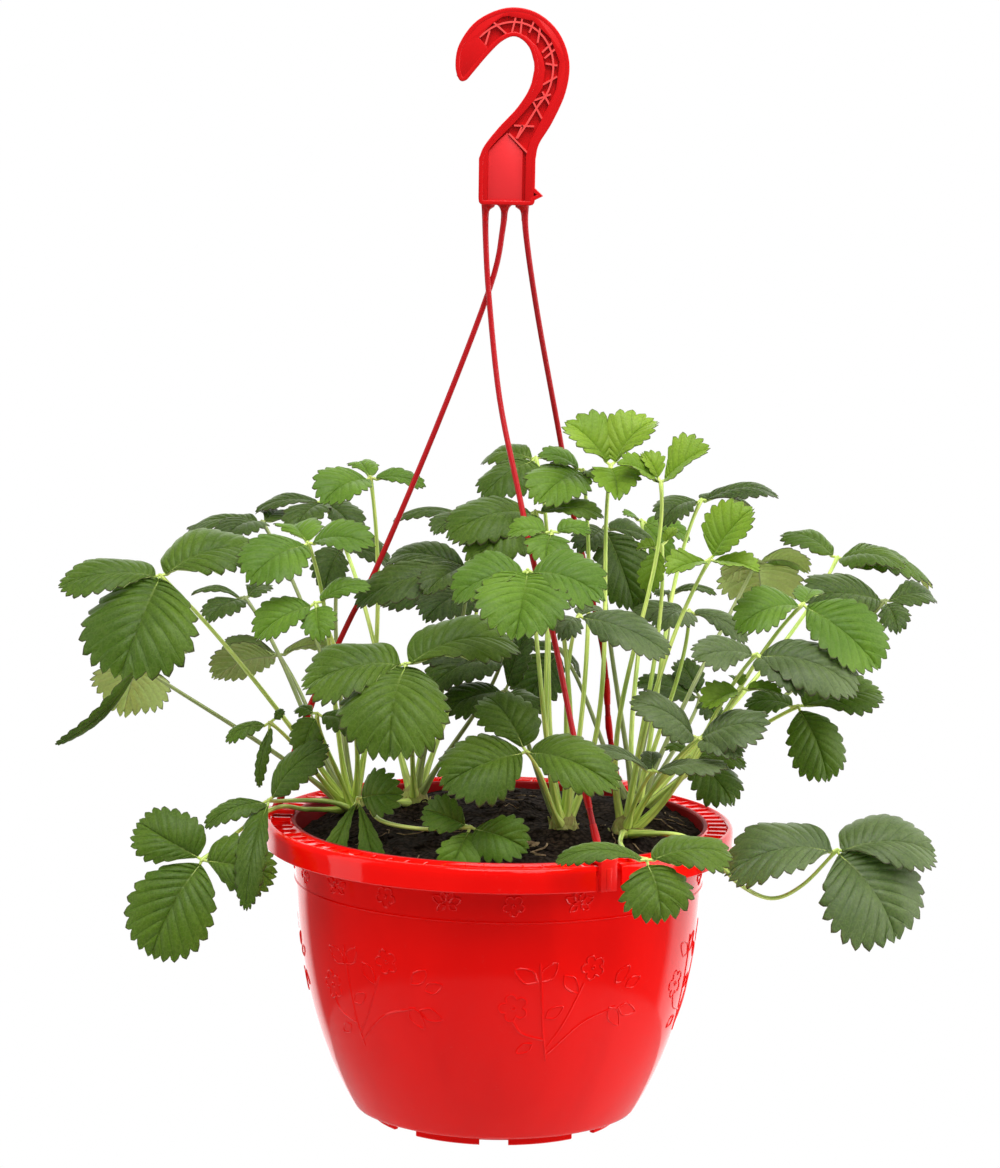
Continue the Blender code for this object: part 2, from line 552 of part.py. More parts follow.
def widen(bm, four, six):
    """Faces from a four-cornered ring to a six-cornered one."""
    left, right, right_low, left_low = four
    for a, b, (p, q, r) in ((left, right, six[:3]), (right_low, left_low, six[3:])):
        bm.faces.new((a, q, p))
        bm.faces.new((a, b, q))
        bm.faces.new((b, r, q))
    bm.faces.new((right, right_low, six[3], six[2]))
    bm.faces.new((left_low, left, six[0], six[5]))


def stalk_directions():
    """The way each leaf's stalk leaves its crown: towards its junction, spread evenly apart."""
    ways = []
    for crown, _, _, place, *rest in LEAVES:
        target = Vector(rest[3] if len(rest) > 3 else place) * CM
        way = (target - crown_place(crown) * MM).normalized()
        way.z = max(way.z, 0.2)
        ways.append(way.normalized())
    for _ in range(80):
        for i, first in enumerate(ways):
            for j in range(i + 1, len(ways)):
                second = ways[j]
                if LEAVES[i][0] != LEAVES[j][0] or first.angle(second) >= STALK_SPREAD:
                    continue
                push = (first - second).normalized() * (STALK_SPREAD - first.angle(second)) / 2
                first += push
                second -= push
                for way in (first, second):
                    way.z = max(way.z, 0.15)
                    way.normalize()
    return ways


def stalk_start(crown, way):
    """The point just off the crown's surface in that direction."""
    bm = turned(crown_profile(), 10)
    bmesh.ops.translate(bm, vec=crown_place(crown) * MM, verts=bm.verts)
    surface = BVHTree.FromBMesh(bm)
    centre = crown_place(crown) * MM + Vector((0, 0, 2 * MM))
    hit, *_ = surface.ray_cast(centre, way)
    bm.free()
    return hit + way * (GAP + 0.5 * MM)


def petiole_path(start, way, junction, end_way, passes):
    """The stalk's line: out of the crown and over to the junction."""
    if passes:
        lead = start + way * (passes[0] - start).length * 0.35
        return smooth_points([start, lead, *passes, junction], 3)
    reach = (junction - start).length
    first = start + (way + Vector((0, 0, 0.15))) * reach * 0.3
    arrive = ((junction - start).normalized() + 0.25 * end_way).normalized()
    second = junction - arrive * reach * 0.3
    return bezier_points(start, first, second, junction, 5)


def build_leaf(index, leaf, way, finishes):
    crown, age, facing, place, *rest = leaf
    junction = Vector(place) * CM
    passes = [Vector(point) * CM for point in rest[3:]]
    end_way = Vector((rest[0][0], rest[0][1], 0)).normalized()
    path = petiole_path(stalk_start(crown, way), way, junction, end_way, passes)
    last = (path[-1] - path[-2]).normalized() * MM
    path[-1:] = [junction - 3 * last, junction - 1.3 * last, junction + 1.3 * last]
    bm = bmesh.new()
    tube(bm, path, PETIOLE_RADIUS * MM, 5, KNOT_SWELL)
    stalk = mesh_from(bm, "petiole")
    leaflets = [leaflet_mesh(junction, Vector((x, y, z)) * CM, Vector(facing), thickness * MM, width)
                for (x, y, z, width), thickness in zip(rest[:3], BLADE_THICKNESS)]
    name = f"leaf_{index:02d}"
    return add_object(name, boolean(name, stalk, leaflets, "UNION"), finishes[age])


def main():
    clear_scene()
    plastic = material("pot_plastic", (0.80, 0.02, 0.015), 0.2)
    build_pot(plastic)
    build_soil(material("soil", (0.03, 0.02, 0.015), 0.95))
    build_hanger(material("hanger_plastic", (0.80, 0.02, 0.02), 0.3))
    crown_finish = material("crown", (0.16, 0.14, 0.05), 0.8)
    for name in CROWNS:
        add_object(name, crown_mesh(name), crown_finish)
    finishes = {age: material("leaf_" + age, colour, 0.55) for age, colour in LEAF_COLOURS.items()}
    for index, (leaf, way) in enumerate(zip(LEAVES, stalk_directions()), start=1):
        build_leaf(index, leaf, way, finishes)
    place_origin()


main()
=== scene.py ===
"""The looks of a strawberry plant in a red hanging pot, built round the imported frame.

Lengths are metres unless a name says otherwise. Sizes are given from the middle of the pot's
foot, in millimetres or centimetres, and moved into the frame, whose origin is the point inside
the top of the hook that the whole thing hangs from.
"""
import logging
import math
from dataclasses import dataclass, field
from enum import Enum, IntEnum
from random import Random
from typing import Any, Callable, NamedTuple, Sequence

import bmesh
import bpy
from bmesh.types import BMVert
from bpy.types import ID, Material, Mesh, Node, NodeSocket, Object
from mathutils import Matrix, Vector, noise
from mathutils.bvhtree import BVHTree


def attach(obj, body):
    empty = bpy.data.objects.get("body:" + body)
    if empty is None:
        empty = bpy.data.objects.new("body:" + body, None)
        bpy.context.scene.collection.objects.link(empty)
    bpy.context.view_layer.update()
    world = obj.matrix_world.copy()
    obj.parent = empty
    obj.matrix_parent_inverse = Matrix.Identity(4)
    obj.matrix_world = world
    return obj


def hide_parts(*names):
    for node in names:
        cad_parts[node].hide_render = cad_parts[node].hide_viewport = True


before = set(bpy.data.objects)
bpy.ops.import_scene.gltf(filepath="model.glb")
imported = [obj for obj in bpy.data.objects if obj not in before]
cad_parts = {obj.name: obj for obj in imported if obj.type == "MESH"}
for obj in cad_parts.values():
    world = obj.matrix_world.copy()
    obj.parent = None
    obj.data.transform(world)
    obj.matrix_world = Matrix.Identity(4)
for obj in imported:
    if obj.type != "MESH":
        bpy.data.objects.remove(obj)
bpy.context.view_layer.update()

LOG = logging.getLogger("strawberry")
MM = 0.001
HANGING_POINT = Vector((1.0, 0.0, 574.0))  # millimetres from the pot's foot
FOOT = -HANGING_POINT * MM
BODY = "root"
SMOOTH = 180  # the angle in degrees that no edge is sharper than
Point = tuple[float, float, float]
Flat = tuple[float, float]
Line = tuple[Flat, ...]


# ---------------- shader maths
def maths(operation: str, *fixed: float) -> Callable[..., "Value"]:
    """A method of Value that makes one Math node.

    Args:
        operation: the node's operation.
        fixed: inputs that come between the value and what the method is given.
    Returns:
        The method, which gives the node's output.
    """
    def method(self: "Value", *others: Any) -> "Value":
        """Makes the node."""
        inputs = dict(enumerate((self, *fixed, *others)))
        return self.nodes.node("ShaderNodeMath", {"operation": operation}, inputs).value(0)
    return method


class Value:
    """One socket that carries a number, with the usual operators."""

    __add__ = __radd__ = maths("ADD")
    __sub__ = maths("SUBTRACT")
    __rsub__ = maths("MULTIPLY_ADD", -1.0)
    __mul__ = maths("MULTIPLY")
    __truediv__ = maths("DIVIDE")
    absolute = maths("ABSOLUTE")
    fraction = maths("FRACT")
    most = maths("MAXIMUM")

    def __init__(self, nodes: "Nodes", socket: NodeSocket) -> None:
        """Keeps the tree that the socket is in."""
        self.nodes = nodes
        self.socket = socket

    def ramp(self, low: float, high: float) -> "Value":
        """A smooth step of the value.

        Args:
            low: where the step begins, at 0.
            high: where it ends, at 1.
        Returns:
            The stepped value.
        """
        settings = {"interpolation_type": "SMOOTHSTEP"}
        return self.nodes.node("ShaderNodeMapRange", settings, {0: self, 1: low, 2: high}).value(0)


class Made:
    """A node just made, and its outputs."""

    def __init__(self, nodes: "Nodes", node: Node) -> None:
        """Keeps the node and its tree."""
        self.nodes = nodes
        self.node = node

    def value(self, output: int | str) -> Value:
        """One output as a number."""
        return Value(self.nodes, self.node.outputs[output])

    def socket(self, output: int | str) -> NodeSocket:
        """One output as it is, for a colour or a vector."""
        return self.node.outputs[output]


class Nodes:
    """A node tree in the making."""

    def __init__(self, owner: ID) -> None:
        """Takes the tree of a material or a world."""
        owner.use_nodes = True
        self.tree = owner.node_tree

    def node(self, kind: str, settings: dict[str, Any] | None = None,
             inputs: dict[int | str, Any] | None = None) -> Made:
        """Any node.

        Args:
            kind: the node's type.
            settings: what is set on it first.
            inputs: values or links by the socket's name or number.
        Returns:
            The node.
        """
        node = self.tree.nodes.new(kind)
        for key, setting in (settings or {}).items():
            setattr(node, key, setting)
        for key, given in (inputs or {}).items():
            self.feed(node.inputs[key], given)
        return Made(self, node)

    def feed(self, socket: NodeSocket, given: Any) -> None:
        """Links or sets one input."""
        if isinstance(given, Value):
            given = given.socket
        if isinstance(given, NodeSocket):
            self.tree.links.new(given, socket)
        elif isinstance(given, tuple) and socket.type == "RGBA":
            socket.default_value = (*given[:3], 1.0)
        else:
            socket.default_value = given

    def vector(self, operation: str, *inputs: Any) -> NodeSocket:
        """One Vector Math node on vectors."""
        made = self.node("ShaderNodeVectorMath", {"operation": operation}, dict(enumerate(inputs)))
        return made.socket(0)


class Paint(Nodes):
    """The node tree of one material, with its Principled shader."""

    def __init__(self, name: str) -> None:
        """Makes the material."""
        self.material = bpy.data.materials.new(name)
        super().__init__(self.material)
        self.shader = self.tree.nodes["Principled BSDF"]

    def set(self, **sockets: Any) -> None:
        """Sets or links the shader's own sockets, named with underscores for spaces."""
        for key, given in sockets.items():
            self.feed(self.shader.inputs[key.replace("_", " ")], given)

    def mix(self, share: Any, first: Any, second: Any) -> NodeSocket:
        """Two colours mixed.

        Args:
            share: how much of the second shows, from 0 to 1.
            first: a colour or a link.
            second: a colour or a link.
        Returns:
            The mixed colour.
        """
        inputs = {0: share, 6: first, 7: second}
        return self.node("ShaderNodeMix", {"data_type": "RGBA"}, inputs).socket(2)

    def place(self, scale: Point = (1, 1, 1)) -> NodeSocket:
        """The point on the piece, in metres, times a scale."""
        where = self.node("ShaderNodeTexCoord").socket("Object")
        return self.vector("MULTIPLY", where, scale)

    def map(self, name: str) -> NodeSocket:
        """A UV map's place, as a vector."""
        return self.node("ShaderNodeUVMap", {"uv_map": name}).socket("UV")

    def split(self, vector: Any) -> tuple[Value, Value]:
        """A vector's first two numbers."""
        made = self.node("ShaderNodeSeparateXYZ", inputs={0: vector})
        return made.value(0), made.value(1)

    def noise(self, where: Any, scale: float, detail: float = 3.0, rough: float = 0.5,
              bend: float = 0.0) -> Value:
        """Soft noise from 0 to 1.

        Args:
            where: the place to read it at.
            scale: how many features there are to a unit.
            detail: how many finer layers it has.
            rough: how strong those are.
            bend: how far it is distorted.
        Returns:
            The noise.
        """
        inputs = {"Vector": where, "Scale": scale, "Detail": detail, "Roughness": rough,
                  "Distortion": bend}
        return self.node("ShaderNodeTexNoise", inputs=inputs).value("Fac")

    def cells(self, where: Any, scale: float, feature: str = "DISTANCE_TO_EDGE") -> Value:
        """A cell pattern: the distance to the cells' edges, unless another feature is asked."""
        inputs = {"Vector": where, "Scale": scale}
        return self.node("ShaderNodeTexVoronoi", {"feature": feature}, inputs).value("Distance")

    def bump(self, height: Value, distance: float, strength: float) -> None:
        """Feeds the shader's normal from a height of 0 to 1 over a distance in metres."""
        inputs = {"Height": height, "Distance": distance, "Strength": strength}
        self.set(Normal=self.node("ShaderNodeBump", inputs=inputs).socket("Normal"))


def darker(colour: Point, share: float) -> Point:
    """A colour with every part brought down to a share of it."""
    return tuple(part * share for part in colour)


# ---------------- finishes
@dataclass(frozen=True)
class MouldedPlastic:
    """Glossy injection-moulded plastic, with faint flow marks, fine scuffs and dust."""

    name: str
    colour: Point = (0.92, 0.004, 0.002)
    deep: Point = (0.74, 0.001, 0.001)
    roughness: float = 0.07
    grain: float = 0.00004

    def material(self) -> Material:
        """The finish as a material."""
        paint = Paint(self.name)
        where = paint.place()
        flow = paint.noise(paint.place((1, 1, 0.35)), 22, 3, 0.5, 0.6)
        scuffs = paint.noise(paint.place((60, 60, 900)), 1.0, 2).ramp(0.62, 0.75)
        dust = paint.noise(where, 420, 4, 0.7).ramp(0.60, 0.72)
        dust = dust * paint.noise(where, 30).ramp(0.45, 0.7)
        colour = paint.mix(flow.ramp(0.35, 0.7) * 0.35, self.colour, self.deep)
        colour = paint.mix(dust * 0.04, colour, (0.55, 0.42, 0.36))
        paint.set(Base_Color=colour, Specular_IOR_Level=0.17)
        paint.set(Roughness=self.roughness + flow * 0.03 + scuffs * 0.05 + dust * 0.12)
        paint.bump(flow * 0.75 + paint.noise(where, 160, 2) * 0.25, self.grain * 5, 0.35)
        return paint.material


class Tone(Enum):
    """The greens of the leaves: upper side, its deeper patches, and the underside, which is paler
    than the leaf's own, partly as painted back light.
    """

    YOUNG = ((0.215, 0.335, 0.024), (0.130, 0.235, 0.012), (0.42, 0.56, 0.12))
    FRESH = ((0.108, 0.208, 0.012), (0.066, 0.142, 0.008), (0.52, 0.66, 0.20))
    MATURE = ((0.074, 0.134, 0.006), (0.042, 0.086, 0.004), (0.56, 0.70, 0.22))
    # Painted shade: a deeper green for leaves inside and behind the clump.
    DARK = ((0.038, 0.070, 0.006), (0.020, 0.040, 0.004), (0.32, 0.42, 0.13))
    # Painted reflection: a blue-grey green for the sheen of the bright studio on upward-facing
    # leaves.
    BLUE = ((0.086, 0.124, 0.040), (0.052, 0.084, 0.024), (0.26, 0.34, 0.15))


VEIN = 0.667  # where in its row a tooth has its tip, which a side vein runs to


@dataclass(frozen=True)
class LeafFace:
    """One side of a leaf: its green, its vein net, its toothed edge and its sheen."""

    tone: Tone
    under: bool = False

    def material(self) -> Material:
        """The finish as a material."""
        paint = Paint(f"leaf_{self.tone.name.lower()}_{'under' if self.under else 'upper'}")
        across, row = paint.split(paint.map("veins"))
        blade = paint.map("blade")
        upper, deep, below = self.tone.value
        # The underside's green is paler than the leaf's own, partly as painted back light.
        first, second = (below, darker(below, 0.72)) if self.under else (upper, deep)
        out = across.absolute()
        tilt = (row - VEIN + 0.5).fraction() - 0.5
        width = (1 - out) * 0.10 + 0.035
        vein = 1 - (tilt.absolute() / width).ramp(0.35, 1.0)
        midrib = 1 - out.ramp(0.0, 0.035)
        wobble = paint.node("ShaderNodeTexNoise", inputs={"Vector": blade, "Scale": 3.0})
        shift = paint.vector("MULTIPLY", wobble.socket("Color"), (0.25, 0.25, 0))
        bent = paint.vector("ADD", blade, shift)
        net = 1 - paint.cells(bent, 4.2).ramp(0.02, 0.14)
        fine = 1 - paint.cells(bent, 9.5).ramp(0.02, 0.16)
        patches = paint.noise(blade, 0.16, 3, 0.6)
        mottle = paint.noise(blade, 6.0, 3, 0.6)
        colour = paint.mix(patches.ramp(0.36, 0.64), first, second)
        colour = paint.mix(mottle.ramp(0.3, 0.75) * 0.35, colour, darker(second, 0.6))
        pale = (0.44, 0.50, 0.20) if self.under else (0.33, 0.42, 0.11)
        lines = (vein * 0.65).most(midrib * 0.85)
        colour = paint.mix(net * 0.06 + fine * 0.03, colour, pale)
        if self.under:
            colour = paint.mix(lines * 0.60, colour, pale)
        else:
            # The upper side is darker along its sunken side veins: painted shade in the creases.
            colour = paint.mix(vein * 0.30, colour, darker(second, 0.8))
            colour = paint.mix(midrib * 0.42 * (1 - row.ramp(1.5, 8.0)), colour, pale)
        rim = (out + (1 - tilt.absolute() * 2) * 0.012).ramp(0.972, 1.004)
        colour = paint.mix(rim * 0.8, colour, (0.040, 0.026, 0.016))
        gloss = 0.60 if self.under else 0.40
        paint.set(Base_Color=colour, Roughness=gloss + mottle * 0.14 - lines * 0.05)
        veil = 0.25 if self.tone is Tone.BLUE else 0.19
        paint.set(Specular_IOR_Level=veil, Subsurface_Weight=0.10, Subsurface_Scale=1.0,
                  Subsurface_Radius=(0.0016, 0.0026, 0.0006), Sheen_Weight=0.16,
                  Sheen_Roughness=0.45, Sheen_Tint=(0.75, 1.0, 0.45))
        height = mottle * 0.25 + 0.5 - net * 0.22 - fine * 0.10 - lines * 0.6
        if self.under:
            height = net * 0.35 + fine * 0.2 + lines * 0.6 + mottle * 0.2
        paint.bump(height, 0.00022, 0.9)
        return paint.material


@dataclass(frozen=True)
class StalkSkin:
    """The skin of a leaf stalk: pale, ribbed lengthwise, with short hairs."""

    name: str = "stalk_skin"
    pale: Point = (0.78, 0.90, 0.24)
    green: Point = (0.30, 0.47, 0.06)
    flush: Point = (0.26, 0.14, 0.06)

    def material(self) -> Material:
        """The finish as a material."""
        paint = Paint(self.name)
        blade = paint.map("blade")
        ribs = paint.noise(paint.vector("MULTIPLY", blade, (9, 0.35, 1)), 1.0, 3)
        along = paint.noise(paint.place(), 18, 2)
        colour = paint.mix(ribs.ramp(0.40, 0.60) * 0.75, self.pale, self.green)
        colour = paint.mix(along.ramp(0.35, 0.75) * 0.55, colour, self.green)
        spots = paint.noise(paint.place(), 45, 3).ramp(0.60, 0.75)
        colour = paint.mix(spots * 0.35, colour, self.flush)
        hairs = paint.noise(paint.vector("MULTIPLY", blade, (30, 12, 1)), 1.0, 2)
        paint.set(Base_Color=colour, Roughness=0.34 + hairs * 0.2, Specular_IOR_Level=0.5,
                  Subsurface_Weight=0.15, Subsurface_Radius=(0.002, 0.003, 0.001),
                  Subsurface_Scale=1.0)
        paint.bump(ribs * 0.6 + hairs * 0.4, 0.0003, 0.7)
        return paint.material


@dataclass(frozen=True)
class CrownBark:
    """The crown's rough skin: brown-green, with papery reddish scales."""

    name: str
    colours: tuple[Point, Point, Point] = ((0.40, 0.46, 0.11), (0.28, 0.24, 0.07),
                                           (0.12, 0.09, 0.035))

    def material(self) -> Material:
        """The finish as a material."""
        paint = Paint(self.name)
        streaks = paint.noise(paint.place((900, 900, 160)), 1.0, 4, 0.6)
        lumps = paint.noise(paint.place(), 130, 4, 0.6)
        green, red, dark = self.colours
        colour = paint.mix(lumps.ramp(0.38, 0.62), green, red)
        colour = paint.mix(streaks.ramp(0.45, 0.75) * 0.7, colour, dark)
        paint.set(Base_Color=colour, Roughness=0.7 + streaks * 0.2)
        paint.bump(streaks * 0.6 + lumps * 0.4, 0.0008, 0.8)
        return paint.material


@dataclass(frozen=True)
class Peat:
    """Dark fibrous potting soil."""

    name: str
    colours: tuple[Point, Point, Point] = ((0.026, 0.018, 0.015), (0.048, 0.032, 0.022),
                                           (0.010, 0.006, 0.004))

    def material(self) -> Material:
        """The finish as a material."""
        paint = Paint(self.name)
        where = paint.place()
        crumbs = paint.cells(where, 420, "F1")
        fibres = paint.noise(paint.place((1, 0.3, 1)), 700, 4, 0.65, 1.5)
        lumps = paint.noise(where, 60, 4, 0.6)
        dark, brown, black = self.colours
        colour = paint.mix(lumps.ramp(0.35, 0.7), dark, brown)
        colour = paint.mix(fibres.ramp(0.55, 0.8) * 0.6, colour, (0.10, 0.062, 0.036))
        # Black in the sunken gaps between the crumbs: painted shade.
        colour = paint.mix(crumbs.ramp(0.25, 0.7), colour, black)
        paint.set(Base_Color=colour, Roughness=0.88 + fibres * 0.12, Specular_IOR_Level=0.08)
        paint.bump(crumbs * -0.5 + fibres * 0.4 + lumps * 0.5, 0.0018, 0.8)
        return paint.material


@dataclass(frozen=True)
class DryFibre:
    """Roots and dry leaf bits: straw brown."""

    name: str
    pale: Point = (0.36, 0.25, 0.13)
    dark: Point = (0.13, 0.075, 0.035)

    def material(self) -> Material:
        """The finish as a material."""
        paint = Paint(self.name)
        spots = paint.noise(paint.place(), 260, 4, 0.6)
        paint.set(Base_Color=paint.mix(spots.ramp(0.35, 0.65), self.pale, self.dark),
                  Roughness=0.75 + spots * 0.15)
        paint.bump(spots, 0.0004, 0.6)
        return paint.material


# ---------------- mesh helpers
def placed(name: str, data: ID) -> Object:
    """A new object in the scene."""
    obj = bpy.data.objects.new(name, data)
    bpy.context.collection.objects.link(obj)
    return obj


def polar(radius: float, azimuth: float, height: float) -> Vector:
    """A point at an azimuth in degrees, counted from the front (-Y) towards +X."""
    angle = math.radians(azimuth)
    return Vector((radius * math.sin(angle), -radius * math.cos(angle), height))


def smooth_points(points: Sequence[Sequence[float]], steps: int) -> list[Vector]:
    """A Catmull-Rom curve through points, flat or in space.

    Args:
        points: what it passes.
        steps: how many steps it takes from one to the next.
    Returns:
        The points on it.
    """
    given = [Vector(p) for p in points]
    ends = [2 * given[0] - given[1], *given, 2 * given[-1] - given[-2]]
    out = []
    for p0, p1, p2, p3 in zip(ends, ends[1:], ends[2:], ends[3:]):
        for k in range(steps):
            t = k / steps
            out.append(0.5 * (2 * p1 + (p2 - p0) * t + (2 * p0 - 5 * p1 + 4 * p2 - p3) * t ** 2
                              + (3 * p1 - p0 - 3 * p2 + p3) * t ** 3))
    return out + [given[-1]]


def share_of(part: float, whole: float = 1.0) -> float:
    """How much of the whole the part is, kept from 0 to 1."""
    return min(1.0, max(0.0, part / whole))


def along_line(points: Sequence[Sequence[float]], share: float) -> list[float]:
    """The point at a share of the way along a list of points, by number."""
    spot = share_of(share) * (len(points) - 1)
    low = min(int(spot), len(points) - 2)
    part = spot - low
    return [a + (b - a) * part for a, b in zip(points[low], points[low + 1])]


class Piece:
    """A mesh in the making, in millimetres from the pot's foot, with its two maps."""

    def __init__(self, name: str) -> None:
        """Starts an empty mesh."""
        self.name = name
        self.bm = bmesh.new()
        self.veins = self.bm.loops.layers.uv.new("veins")
        self.blade = self.bm.loops.layers.uv.new("blade")

    def point(self, place: Sequence[float]) -> BMVert:
        """A new corner."""
        return self.bm.verts.new(place)

    def face(self, corners: Sequence[BMVert], finish: int = 0,
             veins: Sequence[Flat] | None = None, blade: Sequence[Flat] | None = None) -> None:
        """A new face.

        Args:
            corners: its corners in order.
            finish: the number of its material.
            veins: each corner's place in the first map.
            blade: each corner's place in the second.
        """
        made = self.bm.faces.new(corners)
        made.material_index = finish
        made.smooth = True
        for layer, places in ((self.veins, veins), (self.blade, blade)):
            if places:
                for loop, uv in zip(made.loops, places):
                    loop[layer].uv = uv

    def tube(self, path: Sequence[Vector], radii: Sequence[float], sides: int = 10,
             finish: int = 0, flat: float = 1.0) -> None:
        """A closed round bar along a path.

        Args:
            path: the middle of it.
            radii: its radius at each point.
            sides: how many sides it has.
            finish: the number of its material.
            flat: its second half width, as a share of the first.
        """
        across = (path[1] - path[0]).orthogonal().normalized()
        rings, run, reach = [], 0.0, []
        for i, (place, radius) in enumerate(zip(path, radii)):
            tangent = (path[min(i + 1, len(path) - 1)] - path[max(i - 1, 0)]).normalized()
            across = (across - tangent * across.dot(tangent)).normalized()
            up = tangent.cross(across) * flat
            run += (place - path[i - 1]).length if i else 0.0
            reach.append(run / 10)
            turns = [2 * math.pi * k / sides for k in range(sides)]
            rings.append([self.point(place + radius * (math.cos(a) * across + math.sin(a) * up))
                          for a in turns])
        for i, (first, second) in enumerate(zip(rings, rings[1:])):
            for k in range(sides):
                j = (k + 1) % sides
                near, far = k / sides, (k + 1) / sides
                self.face((first[k], first[j], second[j], second[k]), finish, None,
                          ((near, reach[i]), (far, reach[i]), (far, reach[i + 1]),
                           (near, reach[i + 1])))
        self.face(list(reversed(rings[0])), finish)
        self.face(rings[-1], finish)

    def ring(self, radius: float, height: float, sides: int) -> list[BMVert]:
        """Corners evenly round the upright axis."""
        return [self.point(polar(radius, 360 * k / sides, height)) for k in range(sides)]

    def skin(self, rings: Sequence[Sequence[BMVert]], capped: bool = False) -> None:
        """Faces from each ring of corners to the next.

        Args:
            rings: the corners, ring by ring.
            capped: whether the first and the last ring are closed with a face.
        """
        for first, second in zip(rings, rings[1:]):
            for k in range(len(first)):
                j = (k + 1) % len(first)
                self.face((first[k], first[j], second[j], second[k]))
        if capped:
            self.face(list(reversed(rings[0])))
            self.face(rings[-1])

    def slab(self, outline: Sequence[Flat], low: float, high: float, finish: int = 0) -> None:
        """A flat shape seen from the front, between two depths.

        Args:
            outline: its corners, across and up.
            low: the depth of its front.
            high: the depth of its back.
            finish: the number of its material.
        """
        front = [self.point((x, low, z)) for x, z in outline]
        back = [self.point((x, high, z)) for x, z in outline]
        self.face(front, finish)
        self.face(list(reversed(back)), finish)
        for i in range(len(outline)):
            j = (i + 1) % len(outline)
            self.face((front[j], front[i], back[i], back[j]), finish)

    def add(self, mesh: Mesh) -> None:
        """Adds another mesh, and frees it."""
        self.bm.from_mesh(mesh)
        bpy.data.meshes.remove(mesh)

    def mesh(self, tidy: bool = True) -> Mesh:
        """The finished mesh, still in millimetres."""
        if tidy:
            bmesh.ops.recalc_face_normals(self.bm, faces=self.bm.faces)
        mesh = bpy.data.meshes.new(self.name)
        self.bm.to_mesh(mesh)
        self.bm.free()
        return mesh

    def show(self, finishes: Sequence[Material], node: str,
             sharp: float, tidy: bool = True) -> Object:
        """Puts the piece in its place on the frame.

        Args:
            finishes: its materials.
            node: the CAD node it stands for.
            sharp: the angle in degrees past which an edge is sharp.
            tidy: whether its faces are turned outwards.
        Returns:
            The object.
        """
        mesh = self.mesh(tidy)
        mesh.transform(Matrix.Translation(FOOT) @ Matrix.Scale(MM, 4))
        mesh.set_sharp_from_angle(angle=math.radians(sharp))
        for finish in finishes:
            mesh.materials.append(finish)
        obj = placed(self.name, mesh)
        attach(obj, BODY)
        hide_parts(node)
        return obj


def ring_mesh(profile: Sequence[Flat], sides: int) -> Mesh:
    """A loop of (radius, height) points turned about the upright axis.

    Args:
        profile: the loop; points at radius 0 become one corner.
        sides: how many sides it has.
    Returns:
        The mesh, in millimetres.
    """
    piece = Piece("ring")
    rings = [piece.ring(radius, height, sides if radius else 1) for radius, height in profile]
    closed = profile[0][0] != 0
    for first, second in zip(rings, rings[1:] + (rings[:1] if closed else [])):
        for i in range(sides):
            j = (i + 1) % sides
            corners = [first[i % len(first)], first[j % len(first)], second[j % len(second)],
                       second[i % len(second)]]
            kept = [c for k, c in enumerate(corners) if c is not corners[k - 1]]
            if len(kept) > 2:
                piece.face(kept)
    return piece.mesh()


def block_mesh(azimuth: float, radii: Flat, width: float, heights: Flat) -> Mesh:
    """A box in polar place.

    Args:
        azimuth: where it is, in degrees.
        radii: its inner and outer radius.
        width: its width across the azimuth.
        heights: its lowest and highest point.
    Returns:
        The mesh, in millimetres.
    """
    piece = Piece("block")
    near, far = -radii[0], -radii[1]
    outline = ((-width / 2, heights[0]), (width / 2, heights[0]), (width / 2, heights[1]),
               (-width / 2, heights[1]))
    piece.slab(outline, far, near)
    bmesh.ops.rotate(piece.bm, cent=(0, 0, 0), verts=piece.bm.verts,
                     matrix=Matrix.Rotation(math.radians(azimuth), 3, "Z"))
    return piece.mesh()


def softened(mesh: Mesh, width: float) -> Mesh:
    """The mesh with its sharp edges rounded."""
    bm = bmesh.new()
    bm.from_mesh(mesh)
    edges = [e for e in bm.edges if e.is_manifold and e.calc_face_angle() > math.radians(35)]
    bmesh.ops.bevel(bm, geom=edges, offset=width, segments=2, profile=0.5,
                    affect="EDGES", clamp_overlap=True)
    bm.to_mesh(mesh)
    bm.free()
    return mesh


def carved(mesh: Mesh, cutters: Sequence[Mesh]) -> Mesh:
    """The mesh less the cutters."""
    base = placed("base", mesh)
    helpers = [placed(f"cutter_{i}", cutter) for i, cutter in enumerate(cutters)]
    for helper in helpers:
        step = base.modifiers.new("cut", "BOOLEAN")
        step.operation, step.solver, step.object = "DIFFERENCE", "EXACT", helper
    bpy.context.view_layer.update()
    result = bpy.data.meshes.new_from_object(
        base.evaluated_get(bpy.context.evaluated_depsgraph_get()))
    for obj in (base, *helpers):
        spare = obj.data
        bpy.data.objects.remove(obj, do_unlink=True)
        bpy.data.meshes.remove(spare)
    return result


